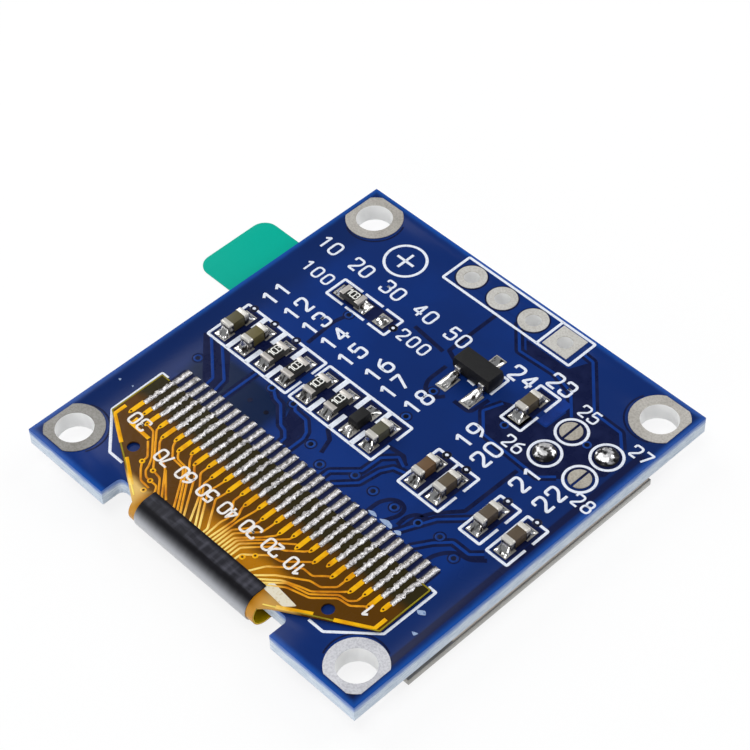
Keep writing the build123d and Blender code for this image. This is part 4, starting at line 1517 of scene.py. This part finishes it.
@dataclass
class Chips:
    """The small parts on the board, and the solder that holds them."""

    land_top: float = 0.04
    land_reach: float = 0.5
    capacitors: int = 8
    resistors: int = 5
    browns: Sequence[Colour] = (
        srgb(72, 66, 38), srgb(88, 80, 42), srgb(74, 72, 54), srgb(90, 64, 34), srgb(78, 66, 46),
        srgb(74, 62, 46), srgb(72, 58, 40), srgb(76, 66, 46),
    )

    def ends(self, chip: str) -> list[tuple[Vector, float]]:
        """Gives both ends of a chip: the middle of each end face at the board in mm, and its turn from +Y."""
        centre, size = middle(chip), span(chip)
        if size.x > size.y:
            return [(centre + Vector((size.x / 2 * s, 0, 0)), -90.0 * s) for s in (-1, 1)]
        return [(centre + Vector((0, size.y / 2 * s, 0)), 0.0 if s > 0 else 180.0) for s in (-1, 1)]

    def solder_chips(self, solder: bpy.types.Material) -> None:
        """Sets a meniscus at each end of each chip and at each lead."""
        tall = Meniscus(self.land_reach - 0.02, 0.5, 0.45, 0.33).model("tall_meniscus", self.land_top)
        low = Meniscus(self.land_reach - 0.02, 0.33, 0.45, 0.36, 1.9).model("low_meniscus", self.land_top)
        blob = Meniscus(self.land_reach + 0.06, 0.17, 0.42, 0.2, 1.0).model("lead_meniscus", self.land_top)
        foot = Meniscus(1.34, 0.3, 0.39, 0.2, 1.15, 0.4).model("foot_meniscus", self.land_top)
        far = Meniscus(1.1, 0.06, 0.38, 0.24, 1.2, 0.3).model("far_meniscus", self.land_top)
        set_pieces = []
        for kind, count, pattern in (("capacitor", self.capacitors, tall), ("resistor", self.resistors, low)):
            for i in range(1, count + 1):
                for place, turn in self.ends(f"{kind}_{i}_ends"):
                    set_pieces.append(copied(pattern, (place.x, place.y, 0), turn))
        for place, turn in self.ends("diode_leads"):
            set_pieces.append(copied(blob, (place.x, place.y, 0), turn))
        legs, offset = middle("regulator_legs"), 0.95
        reach = span("regulator_legs").y / 2
        for x, y, turn, pattern in ((-offset, -reach, 180, foot), (offset, -reach, 180, foot), (0, reach, 0, far)):
            set_pieces.append(copied(pattern, (legs.x + x, legs.y + y, 0), turn))
        dismiss([tall, low, blob, foot, far])
        fillets = joined("solder_menisci", set_pieces)
        ruffle(fillets, 0.4, lambda p: Vector((0.05, 0.03, 0.03)) if p.z > self.land_top + 0.05 else Vector())
        level_floor(fillets, self.land_top)
        show(fillets, solder, "solder", "solder_fillets")

    def mark_resistors(self) -> None:
        """Prints three digits on each resistor's glaze."""
        labels = []
        for i in range(1, self.resistors + 1):
            spot, size = middle(f"resistor_{i}"), span(f"resistor_{i}")
            turn = 0 if size.x > size.y else 90
            labels.append(Label("103", spot.x, spot.y, turn, 0.27))
        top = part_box("resistor_1")[1].z / MM
        marks = print_labels("resistor_marks", labels, Pen(0.075, 0.012, top), 0.48)
        show(marks, Ink("pale_marking", srgb(246, 246, 240), srgb(200, 200, 194)).material(), "resistor_coat")

    def build(self) -> None:
        """Dresses the parts and solders them down."""
        metal = ChipMetal("capacitor_end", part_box("capacitor_1_ends")[1].z / MM).material()
        flat_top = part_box("resistor_1_ends")[1].z / MM
        flat = ChipMetal("resistor_end", flat_top, srgb(218, 212, 205), srgb(88, 84, 80)).material()
        for i in range(1, self.capacitors + 1):
            dress(f"capacitor_{i}", Fired(f"fired_ceramic_{i}", self.browns[i - 1]).material(), 0.03)
            dress(f"capacitor_{i}_ends", metal, 0.09)
        glaze = Glaze(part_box("resistor_1")[1].z / MM).material()
        for i in range(1, self.resistors + 1):
            dress(f"resistor_{i}", glaze, 0.02)
            dress(f"resistor_{i}_ends", flat, 0.05)
        moulding = Moulding().material()
        dress("diode_body", moulding, 0.03)
        dress("regulator_body", moulding, 0.04)
        lead = LEAD_TIN.material()
        dress("diode_leads", lead, 0.015)
        dress("regulator_legs", lead, 0.02)
        self.solder_chips(ReflowedSolder().material())
        self.mark_resistors()


@dataclass
class Ribbon:
    """The folded amber ribbon: film, tracks, contacts, soldered joints and the tape over its fold."""

    contacts: int = 30
    pitch: float = 0.7
    film_top: float = 0.19
    film_end: float = -5.8
    solder_low: float = -8.0
    solder_high: float = -4.43
    bar: float = 0.165
    lean: float = 0.07
    finger: float = 0.3
    long_dot: float = -8.92
    short_dot: float = -8.52
    track: float = 0.13
    tape_edge: float = -11.9

    lone: Sequence[int] = (1, 7, 30)

    def contact_x(self, number: int) -> float:
        """Gives a contact's place across the ribbon in mm, counted from +X."""
        return ((self.contacts + 1) / 2 - number) * self.pitch

    def dot_y(self, number: int) -> float:
        """Gives where a contact's round end lies in mm."""
        return self.long_dot if number % 2 == 0 else self.short_dot

    def routes(self) -> list[Route]:
        """Gives the tracks that leave the contacts and gather towards the fold."""
        edge = self.tape_edge
        middle_group = {
            28: [(-8.1, -9.0), (-6.65, -10.35), (-6.3, -10.9), (-6.2, -11.2), (-5.8, -11.5), (-4.9, -11.5), (-4.6, edge)],
            27: [(-8.05, -8.8), (-6.55, -10.25), (-5.9, -10.9), (-5.2, -11.0), (-4.3, edge)],
            26: [(-7.25, -9.25), (-6.5, -9.95), (-5.9, -10.15), (-5.5, -10.35), (-4.0, edge)],
            25: [(-6.45, -8.95), (-5.8, -9.55), (-4.85, -9.6), (-4.5, -9.9), (-3.0, edge)],
            24: [(-5.75, -9.2), (-5.5, -9.4), (-4.75, -9.45), (-4.4, -9.8), (-2.7, edge)],
            23: [(-5.0, -8.95), (-4.2, -9.75), (-2.45, edge)],
            22: [(-4.4, -9.15), (-3.85, -9.6), (-2.15, edge)],
            21: [(-3.85, -9.15), (-3.6, -9.4), (-2.65, -10.3), (-1.65, edge)],
            20: [(-3.15, -9.15), (-3.15, -9.55), (-2.75, -9.95), (-1.2, edge)],
            19: [(-2.45, -8.8), (-2.55, -9.75), (-0.9, edge)],
            18: [(-1.75, -9.2), (-1.85, -9.8), (-0.6, -11.5), (-0.6, edge)],
            17: [(-1.05, -8.85), (-1.05, -9.2), (-0.45, -9.8), (-0.35, -10.2), (-0.45, -10.7), (-0.35, edge)],
            16: [(-0.35, -9.2), (-0.1, -9.65), (0.0, -10.1), (-0.1, edge)],
            15: [(0.35, -8.8), (0.2, -9.85), (0.15, edge)],
            14: [(1.05, -9.2), (1.0, -9.85), (0.4, -10.6), (0.4, edge)],
            13: [(1.75, -8.85), (1.7, -9.55), (0.65, -10.7), (0.65, edge)],
            12: [(2.45, -9.15), (1.95, -9.8), (0.9, -10.9), (0.9, edge)],
            11: [(3.15, -8.8), (1.15, -10.9), (1.15, edge)],
            10: [(3.7, -8.75), (2.7, -9.6), (1.4, -10.95), (1.4, edge)],
            9: [(4.35, -8.8), (3.5, -9.55), (2.9, -9.75), (1.65, -11.1), (1.65, edge)],
            8: [(4.9, -9.25), (3.9, -10.2), (3.2, -10.3), (2.0, -11.4), (2.0, edge)],
            6: [(6.3, -9.2), (5.85, -9.65), (5.1, -9.65), (3.6, -10.95), (3.1, edge)],
            5: [(7.35, -8.8), (7.35, -9.2), (6.7, -9.85), (6.0, -9.95), (4.4, -11.0), (3.5, edge)],
            4: [(7.8, -9.2), (6.55, -10.4), (5.9, -10.6), (4.9, -11.0), (3.85, edge)],
            3: [(8.75, -8.8), (8.75, -9.1), (8.4, -9.45), (7.8, -9.5), (6.6, -10.6), (5.2, -10.95), (4.2, edge)],
            2: [(9.2, -9.15), (8.7, -9.6), (7.9, -9.7), (6.8, -10.75), (5.4, -11.15), (4.5, -11.85)],
        }
        routes = [
            Route([(self.contact_x(n), self.dot_y(n)), *points], 0.12) for n, points in middle_group.items()
        ]
        inner = [(-7.75, -9.7), (-6.85, -10.5), (-6.85, -10.9), (-6.5, -11.3), (-5.85, -11.85), (-5.1, -11.9)]
        routes.append(Route(inner, 0.12))
        routes.append(Route([(-5.4, -10.4), (-3.75, -11.8)], 0.12))
        return routes

    def edge_bars(self) -> list[Route]:
        """Gives the wide copper bars along the tapered edges."""
        bars = []
        for side in (-1, 1):
            bars.append(Route([(10.7 * side, -8.85), (10.7 * side, -9.7), (8.75 * side, -10.83)]))
            bars.append(Route([(7.7 * side, -11.33), (6.4 * side, -12.15), (5.95 * side, -12.42)]))
        bars.append(Route([(-9.45, -9.0), (-9.4, -9.5), (-7.85, -9.55)]))
        return bars

    def lay_tracks(self) -> None:
        """Lays the tracks, the contacts with their round ends, and the teardrop pads."""
        gold, copper = GOLD.material(), TRACK_GOLD.material()
        show(Pen(self.track, 0.016, self.film_top).draw("film_tracks", self.routes()), copper, "gold_contact")
        bars = Pen(0.24, 0.016, self.film_top).draw("film_edge_bars", self.edge_bars())
        show(bars, gold, "gold_contact")
        half = self.finger / 2
        ends = {}
        for key, dot in (("long", self.long_dot), ("short", self.short_dot)):
            outline = [(-half, self.solder_low + 0.1), (-half, dot + 0.02), (-half * 0.3, dot - 0.2),
                       (half * 0.3, dot - 0.2), (half, dot + 0.02), (half, self.solder_low + 0.1)]
            ends[key] = patch(f"{key}_contact", [Route(outline, 0.1, True)], self.film_top, 0.02)
        numbers = range(1, self.contacts + 1)
        fingers = [copied(ends["long" if n % 2 == 0 else "short"], (self.contact_x(n), 0, 0)) for n in numbers]
        show(joined("film_contacts", fingers), gold, "gold_contact", "ribbon_fingers")
        dot = lump("contact_dot", (4, 4), lambda u, v: BoardFace.dish(u, v, 0.07, 0.006), 0.0)
        lift = self.film_top + 0.018
        spots = [(self.contact_x(n), self.dot_y(n)) for n in numbers]
        pads = [(-6.85, -10.9), (-5.88, -10.92), (-5.45, -11.5), (-5.2, -12.2), (2.64, -10.9), (2.2, -11.45),
                (-9.4, -9.45)]
        dots = joined("contact_dots", [copied(dot, (x, y, lift)) for x, y in [*spots, *pads]])
        show(dots, MaskedCopper("tooling_dot", srgb(96, 58, 8), srgb(70, 42, 10)).material(), "gold_contact")
        rings = Pen(0.12, 0.02, self.film_top).draw("film_pads", [circle(x, y, 0.12, 16) for x, y in pads])
        show(rings, gold, "gold_contact")
        dismiss([*ends.values(), dot])

    def line_edges(self) -> None:
        """Lines the film's cut edges, which catch the light, and lays a pale strip beside the tape as a painted
        highlight.
        """
        end, shoulder = self.film_end - 0.05, -9.62
        edges = [
            Route([(10.35 * s, end), (11.0 * s, end), (11.0 * s, shoulder), (5.32 * s, -12.8)]) for s in (-1, 1)
        ]
        film = FilmCopper("film_edge", srgb(150, 138, 26), srgb(116, 100, 20), srgb(250, 226, 110), -11.0, -12.4)
        show(Pen(0.09, 0.012, self.film_top).draw("film_cut_edges", edges), film.material(), "ribbon_film")
        # Painted highlight: a pale strip on the film beside the tape, where the film catches the light.
        strip = [(4.55, -11.45), (4.8, -11.42), (6.7, -11.6), (6.62, -11.74), (6.2, -12.16), (4.55, -12.06)]
        pale = patch("pale_strip", [Route(strip, 0.15, True)], self.film_top, 0.01)
        paint = Ink("painted_highlight_strip", srgb(226, 218, 196), srgb(206, 190, 150)).material()
        show(pale, paint, "ribbon_film")

    def joint_shape(self, u: float, v: float) -> tuple[float, float, float]:
        """Gives a place on one soldered bar: high on the film, then down onto the board's land."""
        along = (v + 1) / 2
        y = self.solder_low + along * (self.solder_high - self.solder_low)
        past = min(max((y - self.film_end + 0.08) / 0.3, 0), 1)
        base = self.film_top * (1 - past) + 0.04 * past
        crest = 0.085 * (1 - past) + 0.1 * past
        ends = min((y - self.solder_low) / 0.06, (self.solder_high - y) / 0.14, 1)
        half = self.bar * (1 + 0.1 * past)
        bulge = max(1 - abs(u) ** 3.2, 0) ** 0.6
        return u * half + self.lean * (1 - past / 2), y, base + crest * bulge * max(ends, 0) ** 0.5

    def solder_joints(self) -> None:
        """Solders each contact to its land with a rough bar of its own."""
        bar = lump("joint_bar", (7, 84), self.joint_shape, 0.03)
        bars = [copied(bar, (self.contact_x(n), 0, 0)) for n in range(1, self.contacts + 1)]
        dismiss([bar])
        joints = joined("soldered_joints", bars)

        def reach(place: Vector) -> Vector:
            """Gives how ragged a bar is: smooth at its low cap, torn on the film, rippled on the land."""
            if place.z < 0.06:
                return Vector()
            torn = min(max((place.y - self.solder_low - 0.3) / 0.3, 0), 1)
            on_land = place.y > self.film_end + 0.1
            return Vector((0.05, 0.05, 0.05)) if on_land else Vector((0.12, 0.1, 0.08)) * torn

        ruffle(joints, 0.17, reach)
        smooth(joints, 70)
        show(joints, TornSolder(self.film_end, self.pitch).material(), "solder", "ribbon_joints")

    def print_numbers(self) -> None:
        """Prints the end numbers and a line of plain digits on the film."""
        level = self.film_top + 0.012
        labels = [Label("10 20 30 40 50 60 70", -0.7, -9.86, 180, 0.6)]
        labels += [Label("30", -9.2, -9.1, 180, 0.74), Label("1", 9.62, -9.1, 180)]
        numbers = print_labels("film_numbers", labels, Pen(0.15, 0.016, level), 0.84)
        show(numbers, Ink("film_ink", srgb(240, 236, 232), srgb(214, 200, 184)).material(), "ribbon_film")

    def build(self) -> None:
        """Dresses the film and the tape, and lays the rest on them."""
        low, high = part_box("ribbon")
        radius = (high.z - low.z) / MM / 2
        axis_y, axis_z = low.y / MM + radius, (high.z + low.z) / MM / 2
        film = AmberFilm(self.film_end - 1.2, self.tape_edge, axis_y, axis_z, radius - 0.05)
        dress("ribbon", film.material(), 0.0, 50)
        dress("ribbon_shade", FoldedTape(self.tape_edge).material(), 0.02, 50)
        self.lay_tracks()
        self.line_edges()
        self.solder_joints()
        self.print_numbers()


@dataclass
class Display:
    """The glass sandwich under the board, with its films, its driver and its peel tab."""

    def build(self) -> None:
        """Dresses each layer."""
        glass = Sheet("ground_glass", srgb(150, 148, 140), srgb(184, 180, 170), 0.16, coat=0.6).material()
        dress("cover_glass", Sheet("cover_glass_edge", srgb(214, 202, 190), srgb(188, 178, 168), 0.2).material(), 0.02)
        dress("base_glass", glass, 0.03)
        dress("foam_tape", Sheet("foam", srgb(40, 40, 44), srgb(58, 58, 62), 0.7).material())
        dress("light_layer", Sheet("light_layer", srgb(26, 27, 32), srgb(36, 36, 44), 0.25).material())
        dress("driver_chip", Sheet("bare_silicon", srgb(84, 86, 92), srgb(60, 62, 70), 0.15, metallic=0.5).material())
        dress("polarizer", Sheet("polarizer", srgb(22, 23, 28), srgb(28, 30, 38), 0.12, coat=0.8).material())
        film = Sheet("peel_film", srgb(70, 80, 92), srgb(84, 96, 110), 0.08, coat=1.0).material()
        dress("protective_film", film)
        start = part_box("pull_tab")[0].x / MM
        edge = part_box("circuit_board")[0].x / MM
        # Painted shade: the tab darkens towards the board's edge.
        painted_shade_span = (start + 2.0, edge + 0.6)
        tab = Sheet("tab_tape", srgb(0, 172, 149), srgb(0, 150, 130), 0.5, fades=painted_shade_span, specular=0.08)
        dress("pull_tab", tab.material(), 0.01)


@dataclass
class Studio:
    """A pale floor, soft lamps and the camera, with distances in mm."""

    floor_size: float = 4000.0
    target: tuple[float, float, float] = (-2.304, 2.918, 0.0)
    distance: float = 136.22
    bearing: float = -42.318
    elevation: float = 48.156
    roll: float = -2.348
    lens: float = 112.806

    def lay_floor(self) -> None:
        """Lays a white sheet that dips away far from the part and keeps its shadow."""
        clear_bench()
        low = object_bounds()[0].z
        bpy.ops.mesh.primitive_grid_add(x_subdivisions=8, y_subdivisions=8, size=self.floor_size * MM)
        floor = named("floor")
        for corner in floor.data.vertices:
            corner.co.z = low - 0.01 * MM
        pick(floor, Select.FACES, lambda place, _: max(abs(place.x), abs(place.y)) > self.floor_size * 0.4)
        bpy.ops.mesh.inset(thickness=20 * MM, depth=-5 * MM)
        apply_all(floor)
        made = Recipe("floor_sheet")
        grain = made.noise(0.02, 2)
        made.varying("Base Color", made.blend(grain, srgb(252, 252, 252), srgb(248, 248, 248)))
        made.plain(Roughness=0.9, Specular_IOR_Level=0.1)
        path = made.node("ShaderNodeLightPath", output="Is Camera Ray")
        outputs = path.socket.node.outputs
        seen = path | Value(made, outputs["Is Glossy Ray"]) | Value(made, outputs["Is Transmission Ray"])
        glow = made.node("ShaderNodeEmission", inputs={"Color": (1, 1, 1), "Strength": 1.01})
        surface = Value(made, made.shader.outputs[0])
        mixed = made.node("ShaderNodeMixShader", inputs={0: seen * 0.84, 1: surface, 2: glow})
        made.fill(made.tree.nodes["Material Output"].inputs["Surface"], mixed)
        floor.data.materials.append(made.material)
        floor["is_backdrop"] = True

    def light(self) -> None:
        """Sets the world and four soft lamps."""
        world = bpy.data.worlds.new("studio")
        world.use_nodes = True
        tree = world.node_tree
        ambient = tree.nodes["Background"]
        ambient.inputs["Color"].default_value = (0.93, 0.96, 1.0, 1.0)
        ambient.inputs["Strength"].default_value = 0.2
        white = tree.nodes.new("ShaderNodeBackground")
        white.inputs["Color"].default_value = (1, 1, 1, 1)
        path = tree.nodes.new("ShaderNodeLightPath")
        mix = tree.nodes.new("ShaderNodeMixShader")
        tree.links.new(path.outputs["Is Camera Ray"], mix.inputs[0])
        tree.links.new(ambient.outputs[0], mix.inputs[1])
        tree.links.new(white.outputs[0], mix.inputs[2])
        tree.links.new(mix.outputs[0], tree.nodes["World Output"].inputs["Surface"])
        bpy.context.scene.world = world
        for name, place, size, power in (
            ("left_box", (-270, 10, 190), 230, 0.48),
            ("back_box", (70, 260, 190), 240, 0.48),
            ("top_box", (10, -90, 320), 180, 0.38),
            ("front_box", (90, -280, 60), 130, 0.26),
        ):
            self.lamp(name, place, size, power)

    def lamp(self, name: str, place: tuple[float, float, float], size: float, power: float) -> None:
        """Hangs a square lamp that points at the part.

        Args:
            name: Its name.
            place: Where it hangs, in mm.
            size: Its side in mm.
            power: Its power in watts.
        """
        data = bpy.data.lights.new(name, "AREA")
        data.shape = "SQUARE"
        data.size = size * MM
        data.energy = power
        lamp = bpy.data.objects.new(name, data)
        bpy.context.collection.objects.link(lamp)
        lamp.location = Vector(place) * MM
        lamp.rotation_euler = (-lamp.location).to_track_quat("-Z", "Y").to_euler()

    def set_camera(self) -> None:
        """Sets the camera at the photograph's angle."""
        bearing, elevation = math.radians(self.bearing), math.radians(self.elevation)
        away = Vector(
            (math.cos(elevation) * math.cos(bearing), math.cos(elevation) * math.sin(bearing), math.sin(elevation))
        )
        data = bpy.data.cameras.new("camera")
        data.lens = self.lens
        data.sensor_width = 36.0
        data.clip_start = 5 * MM
        data.clip_end = 50.0
        camera = bpy.data.objects.new("camera", data)
        bpy.context.collection.objects.link(camera)
        aim = (-away).to_track_quat("-Z", "Y").to_matrix().to_4x4()
        turn = Matrix.Rotation(math.radians(self.roll), 4, "Z")
        camera.matrix_world = Matrix.Translation((Vector(self.target) + away * self.distance) * MM) @ aim @ turn
        bpy.context.scene.camera = camera

    def build(self) -> None:
        """Sets up the studio."""
        bpy.context.scene.view_settings.view_transform = "Standard"
        self.lay_floor()
        self.light()
        self.set_camera()


def main() -> None:
    """Builds the part's looks in order."""
    logging.basicConfig(level=logging.INFO, format="%(name)s: %(message)s")
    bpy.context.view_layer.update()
    for section in (Studio(), BoardFace(), Pads(), Chips(), Ribbon(), Display()):
        section.build()
    clear_bench()


if __name__ == "__main__":
    main()
